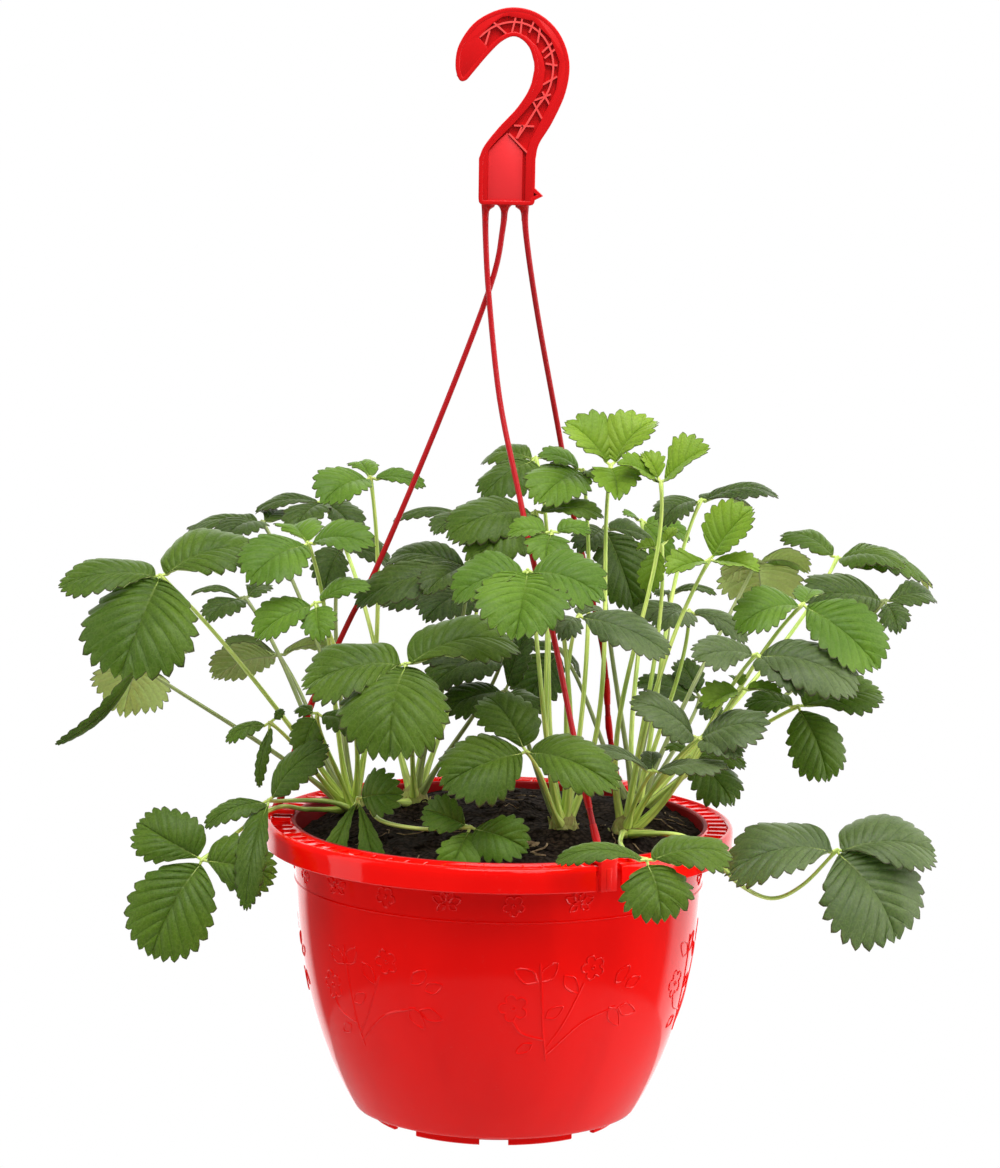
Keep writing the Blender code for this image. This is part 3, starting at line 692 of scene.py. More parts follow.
# ---------------- the pot
@dataclass
class Pot:
    """The red pot: wall, rim, skirt, slots, feet, drains and the raised flowers on it."""

    height: float = 160.0
    rim_radius: float = 125.0
    skirt: float = 13.0
    wall: float = 1.8
    neck: float = 110.5
    foot_radius: float = 67.0
    band: float = 128.4
    sides: int = 180
    outside: Line = ((76.5, 6), (82, 16), (88.5, 30), (94.5, 46), (99.5, 63), (103.5, 82),
                     (106.5, 104), (108.3, 127))
    clips: tuple[float, ...] = (26.6, 146.6, 266.6)
    relief: float = 0.42
    sprigs: int = 6
    flowers: int = 10
    rim_ribs: int = 72
    drains: int = 5
    curve: list[Vector] = field(default_factory=list)

    def __post_init__(self) -> None:
        """Rounds the wall's outline."""
        self.curve = smooth_points(self.outside, 5)

    def radius(self, height: float) -> float:
        """The wall's outer radius at a height."""
        if height > self.band + 0.5:
            share = (height - self.band) / (self.height - self.skirt - self.band)
            return self.outside[-1][0] + 0.3 + share * (self.neck - self.outside[-1][0] - 0.3)
        for low, high in zip(self.curve, self.curve[1:]):
            if low.y <= height <= high.y:
                return low.x + (high.x - low.x) * (height - low.y) / (high.y - low.y)
        return self.curve[-1].x if height > self.curve[-1].y else self.curve[0].x

    def profile(self) -> list[Flat]:
        """One loop round the wall's section: underside, outside, rim and inside."""
        top, neck, rim, wall = self.height, self.neck, self.rim_radius, self.wall
        skirt, under, foot = top - self.skirt, top - 3.3, self.foot_radius
        outside = [(0, 8.0), (foot - 3.7, 8.0), (foot - 3.2, 7.5), (foot - 3.2, 0.5),
                   (foot - 2.7, 0), (foot - 0.6, 0), (foot, 0.6), (foot, 5.2), (foot + 0.6, 5.9),
                   *map(tuple, self.curve)]
        outside[9:10] = [(75.6, 6.0), (76.6, 6.5)]
        last = self.outside[-1][0]
        band = [(last + 0.1, self.band - 0.6), (last + 0.85, self.band - 0.2),
                (last + 0.95, self.band + 0.3), (last + 0.4, self.band + 0.9),
                (neck - 0.5, skirt - 4), (neck, skirt), (neck, under - 0.8), (neck + 0.8, under)]
        edge = [(rim - 2.4, under), (rim - 1.8, under - 0.6), (rim - 1.8, skirt + 0.4),
                (rim - 1.4, skirt), (rim - 0.5, skirt), (rim, skirt + 0.5), (rim, top - 6),
                (rim - 0.05, top - 3.2), (rim - 0.45, top - 1.5), (rim - 1.2, top - 0.5),
                (rim - 2.1, top - 0.05), (rim - 2.9, top - 0.1), (rim - 3.5, top - 0.7),
                (rim - 4.0, top - 1.5), (neck + 1.6, top - 1.5), (neck + 1.0, top - 1.0),
                (neck + 0.5, top - 0.2), (neck - 0.5, top), (neck - 1.3, top - 0.2),
                (neck - wall, top - 1.0), (neck - wall, top - 6)]
        inside = [(p.x - wall, p.y) for p in reversed(self.curve) if p.y > 14]
        return outside + band + edge + inside + [(75.0, 10.4), (74.0, 9.8), (0, 9.8)]

    def cutters(self) -> list[Mesh]:
        """The skirt's slots, the gaps and notches between the feet, and the drain holes."""
        foot, skirt = self.foot_radius, self.height - self.skirt
        out = [block_mesh(a, (121, self.rim_radius + 9), 15, (skirt - 8, self.height + 8))
               for a in self.clips]
        out += [block_mesh(a, (foot - 12, foot + 30), 17, (-8, 5.2)) for a in (45, 135, 225, 315)]
        out += [block_mesh(a, (foot - 12, foot + 30), 15, (-8, 3)) for a in (0, 90, 180, 270)]
        for index in range(self.drains):
            hole = ring_mesh([(0, -8), (4, -8), (4, 30), (0, 30)], 24)
            hole.transform(Matrix.Translation(polar(38, 36 + 360 * index / self.drains, 0)))
            out.append(hole)
        return out

    def line(self, piece: Piece, azimuth: float, points: Sequence[Flat], width: float,
             steps: int = 5) -> None:
        """A raised line on the wall.

        Args:
            piece: the mesh it joins.
            azimuth: where its zero is, in degrees.
            points: its course, millimetres across and up.
            width: its width.
            steps: how finely each span is drawn.
        """
        course = smooth_points(points, steps)
        section = ((-0.5, -0.35), (-0.36, 0.45), (0, 1), (0.36, 0.45), (0.5, -0.35))
        rings = []
        for i, spot in enumerate(course):
            ahead = course[min(i + 1, len(course) - 1)] - course[max(i - 1, 0)]
            side = Vector((-ahead.y, ahead.x)).normalized()
            ring = []
            for share, up in section:
                at = spot + side * share * width
                angle = azimuth + math.degrees(at.x / self.radius(spot.y))
                ring.append(piece.point(polar(self.radius(at.y) + up * self.relief, angle, at.y)))
            rings.append(ring)
        piece.skin(rings)
        piece.face(rings[0])
        piece.face(list(reversed(rings[-1])))

    def flower(self, piece: Piece, azimuth: float, middle: Flat, size: float,
               turn: float = 0.0) -> None:
        """A five-petal flower in outline, with a dot in its middle."""
        petals = []
        for k in range(30):
            angle = 2 * math.pi * k / 30
            reach = size * (0.62 + 0.38 * abs(math.sin(2.5 * angle)) ** 0.8)
            petals.append((angle + turn, reach))
        dot = [(angle, 0.14 * size) for angle in (0, 1.26, 2.51, 3.77, 5.03)]
        for outline, width in ((petals, 1.2), (dot, 1.1)):
            points = [(middle[0] + reach * math.sin(angle), middle[1] + reach * math.cos(angle))
                      for angle, reach in (*outline, outline[0])]
            self.line(piece, azimuth, points, width, steps=2)

    def leaf(self, piece: Piece, azimuth: float, stem: Flat, tip: Flat,
             share: float = 0.26) -> None:
        """A small leaf in outline, from its stem to its tip."""
        low, high = Vector(stem), Vector(tip)
        run = Vector((tip[0] - stem[0], tip[1] - stem[1]))
        side = Vector((-run.y, run.x)) * share
        points = [low, low + run * 0.35 + side, low + run * 0.72 + side * 0.75, high,
                  low + run * 0.72 - side * 0.75, low + run * 0.35 - side, low]
        self.line(piece, azimuth, points, 1.1, steps=4)

    def sprig(self, piece: Piece, azimuth: float) -> None:
        """One flowering sprig on the wall, from its stalk's top at height 107."""
        top = 107.0
        lines = (((0, 0), (1, -12), (3, -36), (6, -54)), ((-13, -31), (-8, -38), (4, -42)),
                 ((5, -47), (14, -33), (24, -12)), ((6, -50), (24, -34), (44, -27)))
        for course in lines:
            self.line(piece, azimuth, [(x, top + z) for x, z in course], 1.6)
        for middle, size in (((-13, -24), 7.6), ((29, -4), 6.6)):
            self.flower(piece, azimuth, (middle[0], top + middle[1]), size, 0.3)
        leaves = (((-1, -10), (-13, -3)), ((1, -10), (9, 0)), ((13, -7), (21, -17)),
                  ((43, -14), (52, -6)), ((50, -17), (60, -13)), ((46, -28), (58, -32)),
                  ((40, -27), (47, -38)), ((4, -30), (13, -24)), ((-2, -44), (-10, -49)))
        for stem, tip in leaves:
            self.leaf(piece, azimuth, (stem[0], top + stem[1]), (tip[0], top + tip[1]))

    def build(self, finishes: Sequence[Material]) -> Object:
        """The whole pot; the second finish, a darker red, is painted shade on the inside of its
        wall.
        """
        piece = Piece("hanging_pot")
        piece.add(carved(ring_mesh(self.profile(), self.sides), self.cutters()))
        for index in range(self.sprigs):
            self.sprig(piece, 12 + 360 * index / self.sprigs)
        middle = (self.height - self.skirt + self.band) / 2
        for index in range(self.flowers):
            turn = 360 * index / self.flowers
            self.flower(piece, 4.2 + turn, (0, middle), 5.6)
            for x, z in ((-7.5, 3.5), (-2.5, 6), (3, 6), (7.5, 2.5), (-5, -4), (5.5, -3)):
                self.leaf(piece, 22.2 + turn, (x * 0.2, middle + z * 0.2), (x, middle + z), 0.3)
        radii = (self.neck + 1.2, self.rim_radius - 3.9)
        heights = (self.height - 2.2, self.height - 0.75)
        for index in range(self.rim_ribs):
            piece.add(block_mesh(360 * index / self.rim_ribs + 1.2, radii, 0.8, heights))
        pot = piece.show(finishes, "pot", sharp=32, tidy=False)
        # Faces inside the wall take the darker red: painted shade.
        for face in pot.data.polygons:
            spot = (face.center - FOOT) / MM
            away = math.hypot(spot.x, spot.y)
            if spot.z > self.outside[1][1] and away < self.radius(spot.z) - 1.2:
                face.material_index = 1
        return pot


# ---------------- the hanger
class Part(IntEnum):
    """The finishes of the hanger by number: one red plastic, with the ribs lighter as painted
    highlight, the panel lighter as painted light and the arms darker as painted shade.
    """

    MOULDING = 0
    RIBS = 1
    ARMS = 2
    PANEL = 3
    CLIPS = 4


@dataclass
class Hanger:
    """The hook, its ribbed grip, the three arms and their clips, in one moulding."""

    half_depth: float = 6.0
    rim: float = 2.4
    web: float = 3.2
    rod: float = 1.5
    rib: float = 0.95
    mid_depth: float = 5.7
    cross_depth: float = 5.6
    arm_end: Flat = (119.5, 161.3)
    grip_foot: float = 489.5
    outline: Line = (
        (-17, 511), (-14.3, 517.5), (-7, 527), (2.5, 537.5), (8.8, 548), (10.9, 559), (7.8, 569),
        (1, 574), (-6, 571.5), (-13.5, 564), (-20.5, 555.5), (-24.5, 551), (-28, 551.5),
        (-30, 559), (-28, 570), (-19, 582), (-4, 588.7), (11, 586.8), (23, 577), (29, 562),
        (27.5, 546), (20.7, 530), (14.2, 519), (12.5, 511))
    foot: Line = (
        (12.5, 496), (16.8, 492), (12.5, 489.8), (12.3, 488.4), (11.4, 487.3), (10, 487),
        (-14.2, 487), (-15.8, 487.4), (-16.6, 488.4), (-16.9, 490.2))
    tip_fill: Line = (
        (-29.2, 553), (-29, 560), (-27, 569), (-24, 575), (-18, 581), (-11, 585.5), (-4, 587.5),
        (1, 587), (1, 585), (-6, 584), (-11, 580.5), (-15, 576.5), (-18, 573), (-13.8, 568.8),
        (-12.6, 565.4), (-20, 556.5), (-25, 552))
    inner_fill: Line = (
        (-16.3, 488.5), (-16.5, 511), (-13.7, 517.2), (-6.5, 526.7), (3, 537.3), (9.2, 548),
        (11.3, 559), (8.4, 569), (4.0, 573.9), (6.2, 574.6), (11.8, 569.6), (15.2, 564),
        (16.6, 557.5), (15.4, 548), (11.5, 541.6), (1, 529.4), (-7.5, 520.6), (-12.2, 515.2),
        (-12.2, 488.5))
    outer_fill: Line = (
        (-4, 588.2), (11, 586.3), (22.6, 576.7), (28.4, 562), (27, 546.2), (20.2, 530.2),
        (13.8, 519.2), (12, 511), (12, 488.5), (7.4, 488.5), (7.4, 512.5), (9.6, 520.6),
        (15.6, 532.4), (22.4, 547.2), (23.9, 561.4), (19, 573.4), (9.6, 582.2), (-3, 584.4))
    panel: Line = ((-12.4, 488.5), (-12.4, 515), (-7.2, 520.6), (-2.6, 524.6), (6, 515),
                   (6, 488.5))
    mid_rib: Line = (
        (-17.8, 573.4), (-11, 578.6), (-3.5, 581.2), (3.6, 581.2), (10, 578.8), (15.6, 573.8),
        (19.3, 567.2), (20.8, 560), (20, 551.5), (17.4, 544.4), (13, 538.2), (8, 529.8),
        (2.8, 521.8))
    cross_ribs: tuple[tuple[Flat, Flat], ...] = (
        ((-10.4, 581), (-3.8, 575.3)), ((-12.5, 576.8), (-14.6, 569.6)),
        ((1.4, 586.2), (-1.2, 575.3)), ((4.3, 585.4), (3.4, 575.3)), ((11, 583.6), (8, 576.1)),
        ((14.1, 582.3), (12.4, 571)), ((20.2, 571.4), (14.8, 566.1)),
        ((21.5, 567.9), (16.1, 563.1)), ((16.7, 560.5), (22.9, 559.5)),
        ((22.9, 553.9), (15.4, 549.5)), ((15.4, 546), (19.3, 539)), ((19.8, 544.7), (9.7, 540.8)),
        ((10.6, 540.8), (15.4, 532)), ((15, 541.6), (7.1, 528.5)), ((1, 528.3), (11.5, 528)),
        ((-1.6, 524.1), (8.9, 513.6)), ((5.4, 528.5), (2.3, 521.5)))
    routes: tuple[tuple[Point, ...], ...] = (
        ((-13.2, 0, 490), (-12.8, 0, 470), (-10.5, -4, 439), (-4, -15, 387), (6.5, -31, 341),
         (16.5, -48, 300), (26, -63, 269), (37, -80, 221), (49, -99, 172)),
        ((7.3, 0, 490), (8.5, 1, 470), (15.8, 14.5, 426), (29, 37, 360), (35, 47, 327),
         (55, 81, 242), (60, 90, 195)),
        ((-3.2, 0, 490), (-4, 0, 474), (-10.3, 0.5, 443), (-37.2, 2, 369), (-68, 4, 293),
         (-82.3, 5, 264), (-103.6, 6, 214)))
    clips: tuple[float, ...] = (26.6, 146.6, 266.6)

    @staticmethod
    def inset(outline: Sequence[Flat], away: float) -> list[Flat]:
        """The outline moved inwards, with its sharp corners held back."""
        made = []
        for i, here in enumerate(outline):
            corners = (i, (i + 1) % len(outline))
            ways = [Vector(outline[k]) - Vector(outline[k - 1]) for k in corners]
            sides = [Vector((way.y, -way.x)).normalized() for way in ways]
            inward = (sides[0] + sides[1]).normalized()
            made.append(tuple(Vector(here) + inward * away / max(0.75, inward.dot(sides[0]))))
        return made

    def hook(self) -> Mesh:
        """The flat moulding of hook and grip: a raised, rounded border round a thinner web."""
        piece = Piece("hook")
        outline = (*map(tuple, smooth_points(self.outline, 5)), *self.foot)
        round_off = ((0.0, 0.5), (0.07, 0.25), (0.25, 0.07), (0.5, 0.0))
        edge = [(away, self.half_depth - drop) for away, drop in round_off]
        edge += [(self.rim - away, self.half_depth - drop) for away, drop in reversed(round_off)]
        section = [(away, -depth) for away, depth in edge] + list(reversed(edge))
        rings = [[piece.point((x, depth, z)) for x, z in self.inset(outline, away)]
                 for away, depth in section]
        piece.skin(rings + rings[:1])
        piece.slab(self.inset(outline, self.rim / 2), -self.web, self.web)
        return piece.mesh()

    def fill(self, outline: Sequence[Flat], depth: float, finish: int) -> Mesh:
        """A flat raised part of the hook, through from front to back."""
        piece = Piece("fill")
        piece.slab(outline, -depth, depth, finish)
        return softened(piece.mesh(), 0.4)

    def bar(self, start: Sequence[float], end: Sequence[float], depth: float) -> Mesh:
        """A thin rib of the hook between two points."""
        start, end = Vector(start), Vector(end)
        run = (end - start).normalized()
        side = Vector((-run.y, run.x)) * self.rib / 2
        outline = [start - side, end - side, end + side, start + side]
        piece = Piece("rib")
        # The ribs take the lighter finish: painted highlight.
        piece.slab(outline, -depth, depth, Part.RIBS)
        return piece.mesh()

    def arm(self, piece: Piece, route: Sequence[Point], azimuth: float) -> None:
        """One arm, flared where it leaves the grip and where it meets its clip."""
        path = smooth_points([*route, polar(self.arm_end[0], azimuth, self.arm_end[1])], 6)
        count = len(path) - 1
        radii = []
        for i in range(count + 1):
            flare = 1.5 * math.exp(-i / 2.2) + 0.9 * math.exp(-(count - i) / 2.0)
            radii.append(self.rod + flare * 0.8)
        # The arms take the darker finish: painted shade.
        piece.tube(path, radii, 14, Part.ARMS)
        inward = 1.1 if route[0][0] < -10 else -1.1 if route[0][0] > 5 else 0.0
        root, widths = [], []
        for k in range(13):
            flare = math.exp(-max(0.0, k * 0.9 - 2.5) / 1.9)
            root.append(Vector((route[0][0] + inward * flare, 0, self.grip_foot - 0.9 * k)))
            widths.append(self.rod + 2.7 * flare)
        piece.tube(root, widths, 20)
        for index in (count - 9, count - 6, count - 3):
            piece.tube(path[index - 1:index + 2], [1.75, 2.05, 1.75], 14)
        end = path[-1]
        foot = [end + Vector((0, 0, lift)) for lift in (4.2, 1.6, 0)]
        piece.tube(foot, [1.9, 3.0, 3.6], 16)

    def clip(self, piece: Piece, azimuth: float) -> None:
        """One clip: a pad across the rim, a strap down its slot, and a lip under the flange."""
        parts = (((109.7, 124.6), 9.4, (160.3, 162.8)), ((121.3, 124.8), 9.2, (146.4, 162.2)),
                 ((115.3, 122.8), 8.8, (153.7, 156.4)), ((124.2, 125.1), 3.2, (147.4, 158.5)))
        for radii, width, heights in parts:
            block = softened(block_mesh(azimuth, radii, width, heights), 0.35)
            for face in block.polygons:
                face.material_index = Part.CLIPS
            piece.add(block)

    def build(self, finishes: Sequence[Material]) -> Object:
        """The whole hanger; its finishes are in the order of Part."""
        piece = Piece("three_arm_hanger")
        piece.add(self.hook())
        # The panel takes a lighter finish: painted light.
        for outline, depth, finish in ((self.tip_fill, 5.8, Part.MOULDING),
                                       (self.inner_fill, 5.85, Part.MOULDING),
                                       (self.panel, 4.6, Part.PANEL),
                                       (self.outer_fill, 5.9, Part.MOULDING)):
            piece.add(self.fill(outline, depth, finish))
        curve = smooth_points(self.mid_rib, 3)
        for start, end in zip(curve, curve[1:]):
            piece.add(self.bar(start, end, self.mid_depth))
        for start, end in self.cross_ribs:
            piece.add(self.bar(start, end, self.cross_depth))
        for route, azimuth in zip(self.routes, self.clips):
            self.arm(piece, route, azimuth)
            self.clip(piece, azimuth)
        return piece.show(finishes, "hanger", sharp=34, tidy=False)


# ---------------- soil and crowns
SOIL_EDGE = 104.0
SOIL_LEVEL = 150.0
MOUND = 12.0
LUMP = 1.6


def soil_height(x: float, y: float) -> float:
    """The soil's height in millimetres: a low mound with a few soft lumps."""
    edge = min(1.0, math.hypot(x, y) / SOIL_EDGE)
    mound = MOUND * (1 - edge ** 2) * (1 + 0.25 * math.sin(y / 28 + 0.6))
    lumps = LUMP * math.sin(x / 13 + 1.1) * math.cos(y / 17 - 0.4)
    return SOIL_LEVEL + mound + lumps * (1 - edge ** 6)


@dataclass
class Soil:
    """The root ball: crumbly ground with clods, roots and a few dry bits."""

    rings: int = 96
    sides: int = 200
    radius: float = 108.2
    rough: float = 2.2
    heap: float = 7.0
    bank: float = 4.6
    clods: int = 300
    roots: int = 150
    seed: int = 11
    # what lies on top: heading in degrees, start, length, radii along it, and flatness
    litter: tuple[tuple[float, Flat, float, tuple[float, ...], float], ...] = (
        (245, (25, -48), 24, (0.6, 0.55, 0.5, 0.55, 0.45, 0.5, 0.4, 0.25), 1.0),
        (200, (21, -46), 13, (0.4, 1.3, 2.1, 2.3, 1.6, 0.8, 0.3), 0.25),
        (20, (-22, -62), 15, (0.3, 0.45, 0.5, 0.45, 0.4, 0.2), 1.0))

    def ground(self, x: float, y: float) -> float:
        """The height of the crumbly surface."""
        rough = self.rough * noise.fractal(Vector((x / 16, y / 16, 0)), 0.9, 2.1, 5)
        away = share_of(math.hypot(x, y) / SOIL_EDGE - 0.35, 0.5)
        heaped = self.heap * away * share_of(0.40 + y / 90) * share_of(1.4 + x / 55)
        banked = sum(self.bank * math.exp(-((x - 10 * a) ** 2 + (y - 10 * b) ** 2) / 230)
                     for a, b in CROWN_PLACES.values())
        return soil_height(x, y) + rough + heaped + banked - 0.8

    def build(self, finishes: Sequence[Material]) -> Object:
        """The whole root ball."""
        piece = Piece("potting_soil")
        centre = piece.point((0, 0, self.ground(0, 0)))
        rows = []
        for i in range(1, self.rings + 1):
            radius = self.radius * i / self.rings
            spots = [polar(radius, 360 * k / self.sides, 0) for k in range(self.sides)]
            rows.append([piece.point((p.x, p.y, self.ground(p.x, p.y))) for p in spots])
        walls = ((107.4, 142), (106.0, 120), (104.0, 103), (101.2, 82), (97.2, 62.5), (92.2, 45.5),
                 (86.2, 29.5), (79.7, 15.5), (72, 10.6))
        rows += [piece.ring(radius, height, self.sides) for radius, height in walls]
        for k in range(self.sides):
            piece.face((centre, rows[0][k], rows[0][(k + 1) % self.sides]))
        piece.skin(rows)
        piece.face(rows[-1])
        rng = Random(self.seed)
        for _ in range(self.clods):
            self.clod(piece, rng)
        for _ in range(self.roots):
            self.root(piece, rng)
        for heading, start, length, sizes, flat in self.litter:
            path = []
            for k, size in enumerate(sizes):
                bend = math.radians(heading + 22 * math.sin(1.3 * k))
                x = start[0] + length * k / len(sizes) * math.cos(bend)
                y = start[1] + length * k / len(sizes) * math.sin(bend)
                path.append(Vector((x, y, self.ground(x, y) + 0.7 + 0.25 * size)))
            piece.tube(path, sizes, 8, 1, flat)
        return piece.show(finishes, "soil", SMOOTH)

    def spot(self, rng: Random, inset: float) -> Vector:
        """A random point on the ground."""
        away = (self.radius - inset) * math.sqrt(rng.random())
        place = polar(away, rng.uniform(0, 360), 0)
        place.z = self.ground(place.x, place.y)
        return place

    def clod(self, piece: Piece, rng: Random) -> None:
        """One crumb of peat, half sunk in the ground."""
        size = rng.uniform(0.6, 1.7) * (1.7 if rng.random() < 0.10 else 1.0)
        middle = self.spot(rng, 5)
        made = bmesh.ops.create_icosphere(piece.bm, subdivisions=2, radius=size)
        squash = Vector((rng.uniform(0.7, 1.3), rng.uniform(0.7, 1.3), rng.uniform(0.5, 0.9)))
        for vert in made["verts"]:
            shift = 1 + 0.35 * noise.noise(vert.co / size * 1.7 + middle)
            vert.co = middle + Vector(a * b for a, b in zip(vert.co, squash)) * shift

    def root(self, piece: Piece, rng: Random) -> None:
        """One fine root or peat fibre that lies on the ground."""
        start = self.spot(rng, 8)
        heading, path = rng.uniform(0, 2 * math.pi), []
        length = rng.uniform(5, 26)
        place = start.copy()
        for step in range(9):
            lift = 0.25 + 1.2 * abs(math.sin(step * 0.9 + heading)) * rng.random()
            if math.hypot(place.x, place.y) > self.radius - 3:
                break
            path.append(Vector((place.x, place.y, self.ground(place.x, place.y) + lift)))
            heading += rng.uniform(-0.6, 0.6)
            place += Vector((math.cos(heading), math.sin(heading), 0)) * length / 8
        if len(path) > 3:
            size = rng.uniform(0.14, 0.38)
            piece.tube(path, [size] * (len(path) - 1) + [size * 0.4], 5,
                       1 if rng.random() < 0.16 else 0)


@dataclass
class Crown:
    """One crown: a scaly stump with papery bud scales round the stalks."""

    name: str
    place: Vector
    seed: int
    stub: Point | None = None
    radius: float = 7.8
    sides: int = 28
    scales: int = 9

    def build(self, finishes: Sequence[Material]) -> Object:
        """The whole crown."""
        piece = Piece(f"strawberry_{self.name}")
        rng = Random(self.seed)
        profile = ((0.45, -8), (0.9, -5), (1.0, -2), (0.98, 2), (0.9, 5.5), (0.74, 9), (0.5, 11.6),
                   (0.22, 12.8))
        rows = []
        for share, height in profile:
            row = []
            for k in range(self.sides):
                spot = polar(self.radius * share, 360 * k / self.sides, height)
                lump = 1 + 0.22 * noise.fractal(spot / 6 + self.place, 1.0, 2.0, 3)
                row.append(piece.point(self.place + Vector((spot.x * lump, spot.y * lump, spot.z))))
            rows.append(row)
        piece.skin(rows, capped=True)
        for index in range(self.scales):
            self.scale(piece, 360 * index / self.scales + rng.uniform(-9, 9), rng)
        if self.stub:
            away = Vector(self.stub).normalized()
            path = [self.place + away * reach + Vector((0, 0, 3.5 + 0.10 * reach))
                    for reach in (2, 8, 14, 19, 22)]
            piece.tube(path, (3.2, 2.6, 2.3, 2.2, 1.7), 12, 1)
        return piece.show(finishes, self.name, SMOOTH)

    def scale(self, piece: Piece, azimuth: float, rng: Random) -> None:
        """One papery scale, pointed, that hugs the stump and curls out at its tip."""
        tall, wide = rng.uniform(4.5, 7.5), rng.uniform(3.0, 5.0)
        lean, low = rng.uniform(0.2, 1.5), rng.uniform(-1.0, 4.5)
        rows = []
        for i in range(7):
            t = i / 6
            half = wide / 2 * (1 - t) ** 0.7 + 0.12
            reach = self.radius * (1.06 - 0.35 * t * (low > 2)) + lean * t ** 2
            row = []
            for k in range(5):
                s = k / 4 * 2 - 1
                at = polar(reach - 0.5 * s * s, azimuth + math.degrees(s * half / self.radius),
                           low + tall * t)
                row.append(self.place + at)
            rows.append(row)
        shells = [[[piece.point(p + polar(off, azimuth, 0)) for p in row] for row in rows]
                  for off in (0.0, -0.35)]
        outer, inner = shells
        for i in range(6):
            for k in range(4):
                piece.face((outer[i][k], outer[i][k + 1], outer[i + 1][k + 1], outer[i + 1][k]), 1)
                piece.face((inner[i][k], inner[i + 1][k], inner[i + 1][k + 1], inner[i][k + 1]), 1)
            for k in (0, 4):
                piece.face((outer[i][k], outer[i + 1][k], inner[i + 1][k], inner[i][k]), 1)
        for i in (0, 6):
            for k in range(4):
                piece.face((outer[i][k], inner[i][k], inner[i][k + 1], outer[i][k + 1]), 1)


CROWN_PLACES: dict[str, Flat] = {
    "crown_left": (-8.0, 4.0),
    "crown_centre": (-4.6, 2.6),
    "crown_front": (3.4, -2.8),
    "crown_right": (6.6, -2.4),
    "crown_back": (7.4, 3.8),
}


def crown_place(name: str) -> Vector:
    """The middle of a crown on the soil, in millimetres."""
    x, y = (10 * value for value in CROWN_PLACES[name])
    return Vector((x, y, soil_height(x, y)))


# ---------------- leaves
class HalfShape(Enum):
    """One half of a leaflet's outline: across as a share of the half width, and along."""

    EVEN = ((0.03, 0.0), (0.34, 0.05), (0.68, 0.17), (0.92, 0.36), (1.0, 0.56), (0.90, 0.76),
            (0.66, 0.90), (0.34, 0.975), (0.03, 1.0))
    BROAD = ((0.03, 0.0), (0.50, -0.01), (0.86, 0.11), (1.04, 0.30), (1.04, 0.50), (0.90, 0.70),
             (0.66, 0.86), (0.34, 0.965), (0.03, 1.0))
    NARROW = ((0.03, 0.0), (0.24, 0.09), (0.52, 0.24), (0.78, 0.42), (0.90, 0.60), (0.84, 0.78),
              (0.62, 0.91), (0.32, 0.98), (0.03, 1.0))
    WEDGE = ((0.03, 0.0), (0.20, 0.10), (0.38, 0.28), (0.62, 0.50), (0.88, 0.70), (1.0, 0.84),
             (0.84, 0.945), (0.42, 0.985), (0.03, 1.0))


@dataclass(frozen=True)
class Habit:
    """How a leaflet grows: folded up along its midrib, rolled down at its edges, arched."""

    fold: float
    roll: float
    arch: float
    grown: float = 1.0


HABITS: dict[Tone, Habit] = {
    Tone.YOUNG: Habit(0.62, 0.16, 0.07),
    Tone.FRESH: Habit(0.40, 0.34, 0.11),
    Tone.MATURE: Habit(0.30, 0.46, 0.13, 1.03),
    Tone.DARK: Habit(0.36, 0.36, 0.12, 1.13),
    Tone.BLUE: Habit(0.32, 0.44, 0.12, 1.04),
}


EDGE_ON = 0.15  # a leaflet that is narrower than this has turned its upper side round
WEDGES = (0.33, 0.5)  # the widths between which a leaflet that hangs is shaped as a wedge
HANGING = -25.0  # the height that a hanging leaflet reaches at least, in millimetres


class Spot(NamedTuple):
    """One point of a blade: in place, how far out it is, its row in teeth, and laid flat."""

    place: Vector
    share: float
    tooth: float
    flat: Vector


def from_vein(tooth: float) -> float:
    """How far a row is from the nearest side vein, as a share of a tooth."""
    return abs((tooth - VEIN + 0.5) % 1.0 - 0.5)


